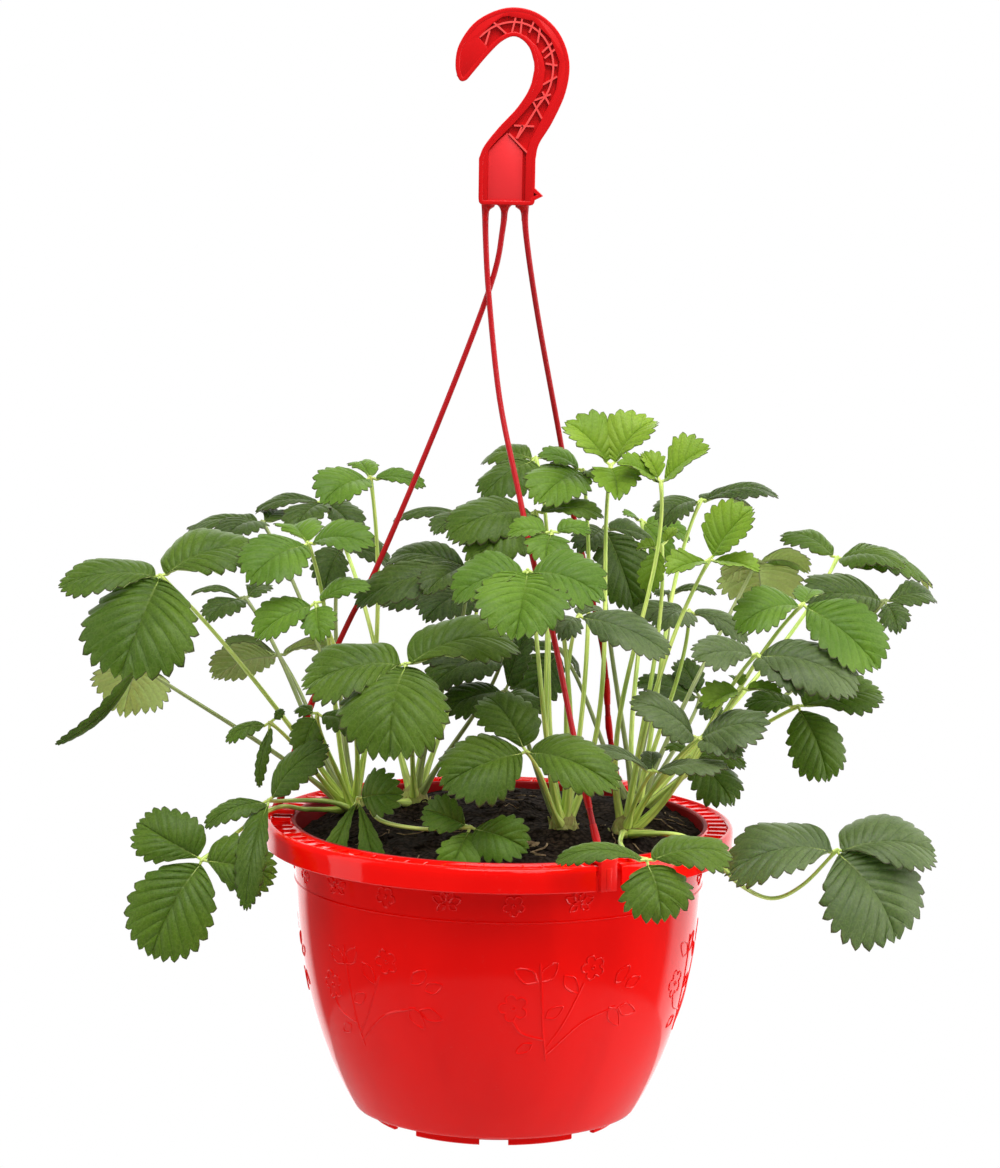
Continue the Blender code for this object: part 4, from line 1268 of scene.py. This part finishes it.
@dataclass
class Leaflet:
    """One leaflet: a folded, arched, toothed and quilted blade on its short stalk."""

    junction: Vector
    reach: Vector
    facing: Vector
    width: float
    end_way: Vector | None
    habit: Habit
    seed: int
    lobe: tuple[float, ...] = (0.60, -0.06, 0.56, 0.84, 1.16, 0.90)
    shares: tuple[float, ...] = (0.045, 0.15, 0.29, 0.45, 0.61, 0.77, 0.90, 1.0)
    thickness: float = 0.42
    stalk: float = 3.5
    quilt: float = 0.044
    groove: float = 0.3

    def __post_init__(self) -> None:
        """Works out the blade's own directions and its random bends."""
        facing = -self.facing if self.width < EDGE_ON else self.facing
        self.along = self.reach.normalized()
        self.normal = (facing - self.along * facing.dot(self.along)).normalized()
        self.side = self.normal.cross(self.along)
        self.blade = self.reach.length * self.habit.grown - self.stalk
        self.half = 0.5 * self.width * self.blade * 1.03 + 0.3
        rng = Random(self.seed)
        self.teeth = max(6, min(11, round(self.blade / 5.2) + 3))
        self.twist = rng.uniform(-0.16, 0.16)
        self.droop = rng.uniform(0.02, 0.12)
        self.wave = rng.uniform(0.03, 0.09)
        self.fold = self.habit.fold + rng.uniform(-0.08, 0.08)
        self.roll = self.habit.roll + rng.uniform(-0.08, 0.08)
        self.arch = self.habit.arch + rng.uniform(-0.03, 0.04)
        self.phase = rng.uniform(0, 6.28)
        self.bow = rng.uniform(-0.04, 0.04)
        self.patch = Vector((rng.uniform(0, 90), rng.uniform(0, 90)))

    def halves(self) -> tuple[HalfShape, HalfShape]:
        """The outlines left and right of the midrib; a side leaflet is broad away from the end."""
        if WEDGES[0] < self.width < WEDGES[1] and self.reach.z < HANGING:
            return HalfShape.WEDGE, HalfShape.WEDGE
        if self.end_way is None:
            return HalfShape.EVEN, HalfShape.EVEN
        if self.side.dot(self.end_way) < 0:
            return HalfShape.NARROW, HalfShape.BROAD
        return HalfShape.BROAD, HalfShape.NARROW

    def edge(self, curve: Sequence[Vector], a: float, rise: float) -> Vector:
        """A point on the toothed edge of the flat blade's right half.

        Args:
            curve: the half's smooth outline.
            a: how far from base to tip the point is.
            rise: how far its tooth stands out there.
        Returns:
            The point.
        """
        x, y = along_line(curve, a)
        x1, y1 = along_line(curve, a + 0.01)
        x0, y0 = along_line(curve, a - 0.01)
        tangent = Vector(((x1 - x0) * self.half, (y1 - y0) * self.blade)).normalized()
        out = Vector((tangent.y, -tangent.x))
        size = self.half / self.teeth * 1.15 + 0.35
        bite = share_of(a - 0.20, 0.14)
        tooth = (out * (rise - 0.6) + tangent * (0.34 * rise - 0.1)) * size * bite
        return Vector((x * self.half, y * self.blade)) + tooth * (1 if x > 0.06 else 0.3)

    def grid(self) -> list[list[Spot]]:
        """The blade's points, row by row from base to tip and across from edge to edge."""
        curves = [smooth_points(half.value, 8) for half in self.halves()]
        steps = len(self.lobe)
        count = self.teeth * steps
        rows = []
        for i in range(count + 1):
            a = i / count
            middle = Vector((0, 0.985 * a ** 2.05 * self.blade))
            sides = []
            for sign, curve in zip((-1, 1), curves):
                edge = self.edge(curve, a, self.lobe[i % steps])
                side = []
                for share in self.shares:
                    flat = middle.lerp(edge, share)
                    flat.y -= 0.022 * self.blade * math.sin(math.pi * share) * (1 - a)
                    flat.x *= sign
                    side.append((flat, sign * share))
                sides.append(side)
            row = [*reversed(sides[0]), (middle, 0.0), *sides[1]]
            tooth = a * self.teeth
            rows.append([Spot(self.bend(flat, share, tooth), share, tooth, flat)
                         for flat, share in row])
        return rows

    def bend(self, flat: Vector, share: float, tooth: float) -> Vector:
        """Folds, arches and quilts one point of the flat blade.

        Args:
            flat: the point, across and along.
            share: how far out it is, signed.
            tooth: its row, counted in teeth.
        Returns:
            The point in place.
        """
        s = flat.y / self.blade
        out = abs(share)
        across = abs(flat.x)
        quilt = math.sin(math.pi * min(1.0, from_vein(tooth) / 0.5) / 2) ** 0.8
        quilt *= min(1.0, out * 5) * (1 - out ** 3) * self.half * self.quilt
        lift = self.arch * self.blade * 4 * s * (1 - s)
        lift += across * self.fold - self.roll * across * across / self.half
        lift += quilt - self.groove * math.exp(-(out / 0.05) ** 2)
        lift += self.twist * flat.x * (s - 0.3)
        lift -= self.droop * self.blade * max(0.0, s - 0.55) ** 2 * 2.2
        turn = 2.2 * tooth / self.teeth * 6.28 + self.phase + (1.4 if share > 0 else 0)
        lift += self.wave * self.half * out * out * math.sin(turn)
        bow = self.bow * self.blade * 4 * s * (1 - s)
        return (self.junction + self.along * (self.stalk + flat.y)
                + self.side * (flat.x * 0.975 + bow) + self.normal * lift)

    def build(self, piece: Piece) -> None:
        """Adds the leaflet to its leaf."""
        rows = self.grid()
        offset = self.normal * self.thickness / 2
        top, under = [], []
        for row in rows:
            upper, lower = [], []
            for place, share, tooth, _ in row:
                upper.append(piece.point(place + offset))
                ridge = 0.35 * math.exp(-(abs(share) / 0.06) ** 2)
                ridge += 0.16 * max(0, 1 - from_vein(tooth) * 6)
                lower.append(piece.point(place - offset - self.normal * ridge * (1 - share ** 4)))
            top.append(upper)
            under.append(lower)
        last = len(rows[0]) - 1
        for i in range(len(rows) - 1):
            for k in range(last):
                quad = ((i, k), (i, k + 1), (i + 1, k + 1), (i + 1, k))
                for layer, finish, way in ((top, 0, quad), (under, 1, quad[::-1])):
                    spots = [rows[a][b] for a, b in way]
                    piece.face([layer[a][b] for a, b in way], finish,
                               [spot[1:3] for spot in spots], self.blade_map(spots))
            for k in (0, last):
                rim = (top[i][k], top[i + 1][k], under[i + 1][k], under[i][k])
                spots = [rows[i][k]] * 4
                piece.face(rim if k == 0 else rim[::-1], 0, [spot[1:3] for spot in spots],
                           self.blade_map(spots))
        for i in (0, len(rows) - 1):
            for k in range(last):
                rim = (top[i][k], under[i][k], under[i][k + 1], top[i][k + 1])
                piece.face(rim if i == 0 else rim[::-1], 0)
        self.midrib(piece, rows)

    def blade_map(self, spots: Sequence[Spot]) -> list[Flat]:
        """The second map: each spot in centimetres on the flat blade, from its own start."""
        return [tuple(spot.flat * 0.1 + self.patch) for spot in spots]

    def midrib(self, piece: Piece, rows: Sequence[Sequence[Spot]]) -> None:
        """The leaflet's stalk, which runs on as the raised midrib under the blade."""
        centre = len(rows[0]) // 2
        drop = self.normal * (self.thickness / 2 + 0.12)
        below = [row[centre].place - drop for row in rows[1::3]]
        path = [self.junction, self.junction + self.along * self.stalk * 0.5, *below[1:-1]]
        count = len(path)
        radii = [0.85 - 0.65 * min(1.0, i / count * 1.15) for i in range(count)]
        piece.tube(path, radii, 7, 2)


class Facing(Enum):
    """The way a leaf's upper side looks."""

    OPEN = (0, -0.5, 0.87)
    BOWED = (0, -0.75, 0.66)
    LEVEL = (0, -0.25, 0.97)
    FRONT = (0, -0.9, 0.45)
    AWAY = (0.1, 0.7, 0.7)


@dataclass
class Leaf:
    """One leaf: a stalk from its crown, and three leaflets where that ends."""

    number: int
    crown: str
    age: str
    facing: Facing
    tone: Tone
    junction: Vector
    leaflets: tuple[tuple[float, float, float, float], ...]
    passes: tuple[Point, ...] = ()
    way: Vector = field(default_factory=Vector)
    thick: float = 1.50
    taper: float = 0.55
    sheath: float = 1.15
    knot: float = 0.35

    def set_off(self) -> None:
        """The first way of the stalk: towards the junction, or the first point it passes."""
        target = Vector(self.passes[0]) * 10 if self.passes else self.junction
        way = (target - crown_place(self.crown)).normalized()
        way.z = max(way.z, 0.2)
        self.way = way.normalized()

    def path(self, surface: BVHTree) -> list[Vector]:
        """The middle of the stalk.

        Args:
            surface: the crown's own surface in the frame.
        Returns:
            The points from inside the crown to the junction.
        """
        centre = crown_place(self.crown) + Vector((0, 0, 2))
        hit = surface.ray_cast(centre * MM + FOOT, self.way)[0]
        start = (hit - FOOT) / MM + self.way * 0.8
        if self.passes:
            marks = [Vector(p) * 10 for p in self.passes]
            lead = start + self.way * (marks[0] - start).length * 0.35
            line = smooth_points([start, lead, *marks, self.junction], 8)
        else:
            reach = (self.junction - start).length
            first = start + (self.way + Vector((0, 0, 0.15))) * reach * 0.3
            end_way = Vector((self.leaflets[0][0], self.leaflets[0][1], 0)).normalized()
            arrive = ((self.junction - start).normalized() + 0.25 * end_way).normalized()
            second = self.junction - arrive * reach * 0.3
            line = []
            for k in range(27):
                t = k / 26
                s = 1 - t
                line.append(s ** 3 * start + 3 * s * s * t * first + 3 * s * t * t * second
                            + t ** 3 * self.junction)
        return [start - self.way * 3.2, *line]

    def build(self, surface: BVHTree, finishes: dict[str, Material]) -> Object:
        """The whole leaf.

        Args:
            surface: the surface of its crown.
            finishes: the materials by name.
        Returns:
            The object.
        """
        piece = Piece(f"strawberry_leaf_{self.number:02d}")
        path = self.path(surface)
        count = len(path) - 1
        radii = []
        for i in range(count + 1):
            t = i / count
            sheath = self.sheath * max(0.0, 1 - t * 5) ** 1.6
            knot = self.knot * max(0.0, 1 - (count - i) / 1.6)
            radii.append(self.thick - self.taper * t + sheath + knot)
        piece.tube([*path, path[-1] + (path[-1] - path[-2]).normalized() * 1.4],
                   [*radii, 0.5], 10, 2)
        facing, end_way = Vector(self.facing.value), Vector(self.leaflets[0][:3])
        for index, (*reach, width) in enumerate(self.leaflets):
            leaflet = Leaflet(self.junction, Vector(reach) * 10, facing, width,
                              end_way if index else None, HABITS[self.tone],
                              self.number * 3 + index)
            leaflet.build(piece)
        tone = self.tone.name.lower()
        # Leaves turned away, and every other leaf of the deepest green, get the darker stalk:
        # painted shade.
        shaded = self.facing is Facing.AWAY or (self.tone is Tone.DARK and self.number % 2)
        skin = "painted_shade_skin" if shaded else "stalk"
        materials = [finishes[f"{tone}_upper"], finishes[f"{tone}_under"], finishes[skin]]
        return piece.show(materials, f"leaf_{self.number:02d}", sharp=60)


# Every leaf: its crown, age, facing and green, the point where its leaflets meet, then the reach
# of its end leaflet and its two side leaflets from there, each with its width as a share of its
# length. Centimetres. Points after that are what its stalk passes on its way.
L, C, F, R, B = CROWN_PLACES
OPEN, BOWED, LEVEL, FRONT, AWAY = Facing
# Of these greens, the deepest is painted shade and the blue-grey one a painted reflection of the
# bright studio.
YOUNG, FRESH, MATURE, DARK, BLUE = Tone
LEAVES = (
    (L, "mature", OPEN, MATURE, (-18, -2, 29.1),
     ((-1.7, -3.6, -4.6, 1), (-5, -1, -0.5, 0.6), (4.8, 1.4, 1.2, 0.85))),
    (L, "mature", AWAY, MATURE, (-19.7, 5, 23.1),
     ((-1.2, 3.6, -3, 0.9), (-4.4, -0.5, -4.2, 0.13), (1.9, 2.8, 0.2, 0.8))),
    (L, "young", OPEN, FRESH, (-7.2, 2, 34),
     ((-2.4, -2.4, -1.1, 0.9), (-0.9, 2.4, 0.5, 0.6), (2.9, -0.5, -0.3, 0.5))),
    (C, "dark", LEVEL, DARK, (-10.2, 12, 31.5),
     ((-3.3, 0, -0.5, 0.5), (-1.3, -2.5, -1.3, 0.7), (1.8, -2, -1.5, 0.7))),
    (L, "dark", LEVEL, DARK, (-13.5, 11, 30.4),
     ((-3.7, 1, -0.5, 0.6), (-1.8, -2.6, -0.6, 0.7), (0.9, 2.2, 0.2, 0.8))),
    (L, "mature", OPEN, FRESH, (-10.3, -1.6, 30.9),
     ((-2.9, -2.6, -1.6, 0.95), (3.4, -1.5, 0.2, 0.8), (-1, 3, 0.5, 0.8))),
    (L, "dark", OPEN, DARK, (-8.8, 5, 29.9),
     ((2.4, 0, -0.9, 0.6), (-0.7, -1.8, -1.8, 0.8), (1.9, 1.3, 0.1, 0.5))),
    (L, "young", OPEN, FRESH, (-9.8, -3.5, 28),
     ((-3, -1, -1.7, 0.8), (2.8, 0, 1, 0.6), (0.4, -1.6, -1.7, 0.9))),
    (L, "dark", LEVEL, DARK, (-14.3, 9, 26.4),
     ((-2.6, 0, 0.2, 0.3), (-1.7, -1.7, -0.9, 0.8), (1, 1.6, 0.4, 0.8))),
    (L, "dark", AWAY, DARK, (-12.5, 10.5, 23),
     ((-3.3, 1.5, -1.4, 0.7), (-2.8, 2.8, 0, 0.35), (2.9, 1.2, 0.2, 0.4))),
    (C, "mature", OPEN, MATURE, (-5, -6, 25.3),
     ((-0.6, -4, -4, 1), (-5, -1, -1.1, 0.9), (5.6, 1, 0.9, 0.7))),
    (L, "mature", OPEN, MATURE, (-9.7, -2, 21.9),
     ((2.1, -1, -0.7, 0.8), (-0.7, -1, -2, 0.9), (-1.1, 1, 0.1, 0.8))),
    (L, "mature", OPEN, MATURE, (-12.1, -4, 17.6),
     ((2.9, 0, 2.9, 0.62), (-0.9, -3.8, -4.7, 0.27), (-3.1, -1, -1.2, 0.45))),
    (L, "young", OPEN, MATURE, (-12.2, -1.6, 21.3),
     ((-2.2, -0.5, -0.9, 0.5), (-0.5, -0.8, -3.2, 0.2), (0.6, 0.6, 0.6, 0.7))),
    (L, "mature", FRONT, MATURE, (-15.4, -6, 14.8),
     ((-2.4, -1.5, -4.6, 0.85), (-3.3, 1, 1.7, 0.9), (3.7, -0.3, -0.6, 0.9)), (-12.1, -3.1, 16.9)),
    (L, "mature", FRONT, FRESH, (-7.4, -5, 18),
     ((-1.3, -1.3, -3.2, 0.36), (0.9, -1.5, -3.2, 0.38), (2.3, -1.3, 0.5, 1.1))),
    (C, "mature", FRONT, FRESH, (-1.5, -8, 17.2),
     ((-2.4, 0.8, 0.7, 0.85), (-0.9, -1.2, -2.2, 0.95), (2.9, -0.8, -0.9, 0.95)),
     (-6.8, -1.5, 16.9), (-6.1, -5.4, 16.9), (-4, -7.2, 16.9)),
    (F, "mature", BOWED, MATURE, (1.3, -8, 21.2),
     ((-4.1, -1.5, -1.5, 0.9), (4.4, -3.2, -1, 0.6), (-2, 1.5, 2.5, 0.9))),
    (F, "dark", OPEN, DARK, (0.2, -1.8, 23.3),
     ((-2.8, -1, -0.8, 0.8), (1, 0.5, 2.8, 0.5), (1.4, -1.6, -0.9, 0.8))),
    (F, "mature", OPEN, FRESH, (1.2, -8.5, 30.6),
     ((-0.6, -3.5, -2.9, 1.1), (-3.7, -1, -1.3, 0.9), (3.8, -1, -1.2, 1))),
    (F, "mature", OPEN, FRESH, (2.4, -5.4, 32.2),
     ((-0.3, -1.9, -1.3, 1.1), (-2.2, -0.4, -0.1, 0.9), (2, 0.2, 0.1, 0.85))),
    (F, "dark", OPEN, MATURE, (1.6, -1, 32.7),
     ((-4.4, -1.5, -1.1, 0.75), (-3.2, -2.5, -2.3, 0.7), (3.4, -0.5, 0, 0.5))),
    (F, "dark", OPEN, MATURE, (1.6, 3, 35.1),
     ((-2.6, 2, -0.3, 0.7), (-2.7, -1.5, -1.8, 0.85), (1.5, 0.2, 0.4, 0.7))),
    (F, "mature", OPEN, FRESH, (4.1, 1, 34.7),
     ((-2.4, -3, -1.3, 0.9), (-2.3, -0.6, 0.9, 0.7), (0.8, -1.5, -0.2, 0.8))),
    (C, "dark", OPEN, DARK, (-1.9, 0, 29.6),
     ((-3.8, 2, 0, 0.5), (-5.2, -1, -1.6, 0.5), (-1.9, -2.6, -0.9, 0.7))),
    (C, "dark", OPEN, DARK, (-1.4, 8, 27.2),
     ((-4.7, -1, -0.7, 0.6), (-2.5, -3, -1, 0.7), (2.3, 0, -0.5, 0.7))),
    (C, "dark", OPEN, DARK, (0, -1, 24.9),
     ((-4.2, 0, 0, 0.5), (-3.5, -1.5, -1.4, 0.6), (0.8, 0.9, -0.9, 0.8))),
    (C, "dark", LEVEL, DARK, (-2, 12, 30.8),
     ((-3.7, -0.5, -0.1, 0.35), (-1.6, -2.6, -0.5, 0.6), (1.9, 1.5, 0.5, 0.6))),
    (B, "dark", OPEN, DARK, (3.2, 8, 24),
     ((-1.6, -1, -2.8, 0.85), (-2, 0.6, -0.2, 0.5), (1, 0.8, -1.4, 0.6))),
    (F, "young", OPEN, YOUNG, (5.5, -1, 35.2),
     ((0.3, -2.4, -1.4, 1), (-2.3, 0.4, 2.2, 1.05), (2.2, 0.6, 2.4, 0.95))),
    (R, "young", OPEN, YOUNG, (8.1, -2.2, 34.5),
     ((-0.9, 0.5, 1.5, 0.8), (2.4, -0.5, 1.9, 0.95), (-2.2, -0.8, 1.1, 0.8))),
    (B, "dark", LEVEL, DARK, (10.8, 9, 32.3),
     ((3.7, 0, 0.4, 0.55), (-2, -2, -0.9, 0.8), (2.3, 2.5, -0.6, 0.5))),
    (R, "young", OPEN, YOUNG, (10.7, -3, 30.6),
     ((2.1, 0, 2.7, 0.95), (2.5, -1, -0.4, 0.6), (-2.2, -0.8, -0.7, 0.85))),
    (R, "young", OPEN, YOUNG, (8.3, -0.2, 30.9),
     ((-0.7, -0.5, -2.4, 0.6), (-1.3, 0, -0.2, 0.8), (0.8, 0.5, 0.9, 0.6))),
    (B, "dark", OPEN, DARK, (5.4, 5, 31.2),
     ((1.5, -1.5, -3.7, 0.7), (-1.2, -2, -0.9, 0.8), (2.5, 1, -1, 0.6))),
    (F, "dark", OPEN, BLUE, (3.9, -4.2, 27.7),
     ((4.5, -1, -1.6, 0.6), (-0.9, -2, -0.8, 0.8), (0.9, 2, 0.2, 0.6))),
    (B, "dark", LEVEL, DARK, (9.2, 10, 27),
     ((-2, 0, -0.1, 0.5), (2.3, 0, 0, 0.5), (-0.6, -1.6, 0.1, 0.5))),
    (B, "dark", OPEN, BLUE, (10, 3, 27),
     ((-2.9, 0, -0.1, 0.6), (3, -0.5, -1.4, 0.5), (-1.7, -2.6, -0.5, 0.7))),
    (B, "mature", AWAY, FRESH, (14.2, 12, 28.6),
     ((0.6, 3, -3.2, 1.15), (-1.6, 2, -1.4, 0.7), (3, 1.5, -0.7, 0.7))),
    (B, "mature", LEVEL, MATURE, (18.5, 10, 29.1),
     ((-2.8, 1.5, 1, 0.8), (3.4, -1.5, -0.2, 0.75), (5.2, 2.5, -1.7, 0.7))),
    (B, "dark", OPEN, DARK, (20.6, 4, 27.6),
     ((-3.9, -1, 0.2, 0.95), (2.5, 1.5, 0, 0.7), (0.5, -1.8, -1.2, 0.8))),
    (R, "mature", OPEN, FRESH, (15.7, -2, 28.2),
     ((3.9, -1.5, -3, 0.9), (-3.5, -1.5, -1.1, 0.85), (0.7, 2.6, 0.4, 0.6))),
    (R, "dark", OPEN, BLUE, (13.2, -4, 25.8),
     ((5, -1, -1.5, 0.75), (-3.2, -1.5, 0, 0.85), (2.2, -2, -1.6, 0.6))),
    (R, "young", OPEN, YOUNG, (12.5, -4, 24),
     ((-2, -1, -0.9, 0.8), (2, -1, -0.1, 0.4), (-0.3, 1.3, 0.4, 0.7))),
    (B, "mature", OPEN, MATURE, (15.7, -1, 22.6),
     ((1.5, -1.5, -3.5, 0.8), (4.3, 0.5, 0.7, 0.8), (-2.7, 0, 0, 0.8))),
    (R, "mature", OPEN, BLUE, (10.2, -5, 21.5),
     ((3.4, -1, 1, 0.95), (-3.3, -0.5, 1.9, 0.7), (2.1, -1.5, -0.6, 0.7))),
    (R, "mature", LEVEL, BLUE, (7.9, -5.5, 19.8),
     ((3.6, -0.8, 0.4, 0.55), (-3.9, -1, 0.9, 0.5), (0, 2.2, 0.6, 0.5))),
    (R, "mature", OPEN, MATURE, (10, -1, 19.8),
     ((2.2, -1.5, -2.1, 0.9), (2.9, 0, -0.3, 0.6), (-1.1, 1, 0.4, 0.7))),
    (R, "mature", OPEN, MATURE, (7.4, -12.9, 16.7),
     ((0.7, -1.5, -2.6, 1.25), (4.1, 0.3, 0.3, 0.75), (-4.4, -0.5, 0, 0.35)),
     (6.3, -5.6, 16), (6.6, -9.6, 16.3)),
    (R, "mature", OPEN, BLUE, (17.6, -5, 15.7),
     ((3, -1.6, -4, 1.2), (-5.6, -1.2, -0.95, 0.78), (5, 1, -0.2, 0.85)),
     (9.4, -7.9, 16.9), (10.9, -7.3, 15.9), (12.5, -5.7, 14), (14.3, -4.4, 12.95),
     (15.9, -4.5, 13.7)),
    (B, "dark", OPEN, DARK, (11.1, 10.5, 21),
     ((-1, 1, 1.7, 0.8), (-3.1, 0, 0.7, 0.6), (0.9, -1, -1.1, 0.8))),
    (B, "dark", OPEN, FRESH, (7.7, 13, 30.6),
     ((-1, -1, 0.5, 0.7), (2.7, 0, -1, 0.6), (1.4, -1.5, -2, 0.7))),
)


@dataclass
class Plant:
    """All the crowns and leaves; stalks leave a crown at least `spread` radians apart."""

    spread: float = 0.42
    rounds: int = 80

    def leaves(self) -> list[Leaf]:
        """The leaves, with their stalks spread evenly apart where they leave a crown."""
        made = []
        for number, row in enumerate(LEAVES, start=1):
            crown, age, facing, tone, place, leaflets, *passes = row
            leaf = Leaf(number, crown, age, facing, tone, Vector(place) * 10, leaflets,
                        tuple(passes))
            leaf.set_off()
            made.append(leaf)
        for _ in range(self.rounds):
            for i, first in enumerate(made):
                for second in made[i + 1:]:
                    angle = first.way.angle(second.way)
                    if first.crown != second.crown or angle >= self.spread:
                        continue
                    push = (first.way - second.way).normalized() * (self.spread - angle) / 2
                    for leaf, move in ((first, push), (second, -push)):
                        way = leaf.way + move
                        way.z = max(way.z, 0.15)
                        leaf.way = way.normalized()
        return made

    def build(self) -> list[Object]:
        """Crowns first, then leaves."""
        fibre = DryFibre("bud_scale", (0.44, 0.48, 0.15), (0.30, 0.22, 0.07)).material()
        bark = CrownBark("crown_bark").material()
        out, surfaces = [], {}
        graph = bpy.context.evaluated_depsgraph_get()
        for index, name in enumerate(CROWN_PLACES):
            surfaces[name] = BVHTree.FromObject(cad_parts[name], graph)
            stub = (0.72, -0.69, 0.0) if name == "crown_right" else None
            out.append(Crown(name, crown_place(name), 40 + index, stub).build([bark, fibre]))
        # The second, darker stalk finish is painted shade.
        finishes = {"stalk": StalkSkin().material(),
                    "painted_shade_skin": StalkSkin("stalk_dusky", (0.34, 0.40, 0.13), (0.15, 0.19, 0.06),
                                       (0.16, 0.08, 0.06)).material()}
        for tone in Tone:
            finishes[f"{tone.name.lower()}_upper"] = LeafFace(tone).material()
            finishes[f"{tone.name.lower()}_under"] = LeafFace(tone, True).material()
        for leaf in self.leaves():
            out.append(leaf.build(surfaces[leaf.crown], finishes))
        return out


# ---------------- studio
@dataclass
class Studio:
    """A pale floor well below the hanging pot, soft light all round, and the camera.

    The air gives the first strength of `air` up to where `fall` begins on the way to `brightest`,
    and the second from where it ends.
    """

    floor: Point = (0.0, 0.0, -1.30)
    floor_radius: float = 1.7
    air: Flat = (0.26, 1.7)
    fall: Flat = (0.60, 0.70)
    brightest: Point = (0.22, 1.0, 0.0)
    camera_at: Point = (-0.003, -2.0, -0.006)
    pitch: float = -0.1396
    roll: float = 0.0181
    lens: float = 137.3

    def floor_mesh(self) -> None:
        """The floor, a wide disc with a very faint texture."""
        bm = bmesh.new()
        bmesh.ops.create_circle(bm, cap_ends=True, segments=96, radius=self.floor_radius)
        mesh = bpy.data.meshes.new("studio_floor")
        bm.to_mesh(mesh)
        bm.free()
        paint = Paint("studio_floor")
        grain = paint.noise(paint.place(), 3.0, 3)
        paint.set(Base_Color=paint.mix(grain * 0.2, (0.66, 0.66, 0.66), (0.63, 0.63, 0.63)),
                  Roughness=0.9, Emission_Color=(1.0, 1.0, 1.0), Emission_Strength=0.06)
        mesh.materials.append(paint.material)
        obj = placed("studio_floor", mesh)
        obj.location = self.floor

    def lamp(self, name: str, place: Point, aim: float, size: Flat, power: float) -> None:
        """One soft box.

        Args:
            name: what it is called.
            place: where it stands.
            aim: the height it points at, on the upright axis.
            size: its width and height.
            power: its power in watts.
        """
        light = bpy.data.lights.new(name, "AREA")
        light.shape, light.size, light.size_y, light.energy = "RECTANGLE", *size, power
        obj = placed(name, light)
        obj.location = place
        way = Vector((0, 0, aim)) - obj.location
        obj.rotation_euler = way.to_track_quat("-Z", "Y").to_euler()

    def world(self) -> None:
        """White to look at; it lights the plant most from behind and the sides."""
        world = bpy.data.worlds.new("studio_air")
        air = Nodes(world)
        way = air.node("ShaderNodeTexCoord").socket("Generated")
        behind = air.node("ShaderNodeVectorMath", {"operation": "DOT_PRODUCT"},
                          {0: way, 1: self.brightest}).value("Value")
        inputs = dict(enumerate((behind, *self.fall, *self.air)))
        strength = air.node("ShaderNodeMapRange", inputs=inputs).value(0)
        seen = air.node("ShaderNodeLightPath").value("Is Camera Ray")
        strength = air.node("ShaderNodeMix", inputs={0: seen, 2: strength, 3: 1.0}).value(0)
        background = air.tree.nodes["Background"]
        air.feed(background.inputs["Strength"], strength)
        air.feed(background.inputs["Color"], (1.0, 1.0, 1.0))
        bpy.context.scene.world = world

    def camera(self) -> None:
        """The camera at the viewing angle."""
        data = bpy.data.cameras.new("view")
        data.lens, data.sensor_width, data.sensor_fit = self.lens, 36.0, "HORIZONTAL"
        obj = placed("view", data)
        tilt = Matrix.Rotation(math.pi / 2 + self.pitch, 4, "X")
        turn = tilt @ Matrix.Rotation(self.roll, 4, "Z")
        obj.matrix_world = Matrix.Translation(self.camera_at) @ turn
        bpy.context.scene.camera = obj

    def build(self) -> None:
        """Sets the whole stage."""
        self.world()
        self.floor_mesh()
        for lamp in (("top_box", (0.10, -0.75, 1.25), -0.35, (1.3, 1.0), 37),
                     ("left_box", (-1.5, -0.35, 0.0), -0.4, (0.6, 1.8), 8),
                     ("right_box", (1.5, -0.25, 0.0), -0.4, (0.6, 1.8), 19),
                     ("front_box", (0.7, -1.9, 1.0), -0.2, (0.9, 0.7), 11)):
            self.lamp(*lamp)
        self.camera()
        bpy.context.scene.view_settings.view_transform = "Standard"


def main() -> None:
    """Builds everything in order and reports each piece."""
    logging.basicConfig(level=logging.INFO, format="%(name)s: %(message)s")
    # The inside of the pot is a darker red copy of the plastic: painted shade.
    inside = MouldedPlastic("pot_inside", (0.34, 0.003, 0.006), (0.24, 0.002, 0.004), 0.55)
    pot = [MouldedPlastic("pot_plastic").material(), inside.material()]
    # One red plastic in several tones: the ribs and the panel lighter as painted highlight and
    # painted light, the arms darker as painted shade.
    looks = (("hanger_plastic", (0.56, 0.006, 0.007), (0.44, 0.003, 0.005), 0.26),
             ("hanger_ribs", (0.78, 0.075, 0.070), (0.70, 0.05, 0.048), 0.26),
             ("hanger_arms", (0.42, 0.010, 0.013), (0.30, 0.005, 0.008), 0.18),
             ("hanger_panel", (0.70, 0.030, 0.034), (0.64, 0.024, 0.028), 0.30),
             ("hanger_clips", (0.84, 0.012, 0.010), (0.68, 0.006, 0.006), 0.18))
    finishes = [MouldedPlastic(*look).material() for look in looks]
    made = [Pot().build(pot), Hanger().build(finishes)]
    made.append(Soil().build([Peat("peat").material(), DryFibre("root_fibre").material()]))
    made += Plant().build()
    for piece in made:
        LOG.info("%s: %d faces", piece.name, len(piece.data.polygons))
    Studio().build()


if __name__ == "__main__":
    main()
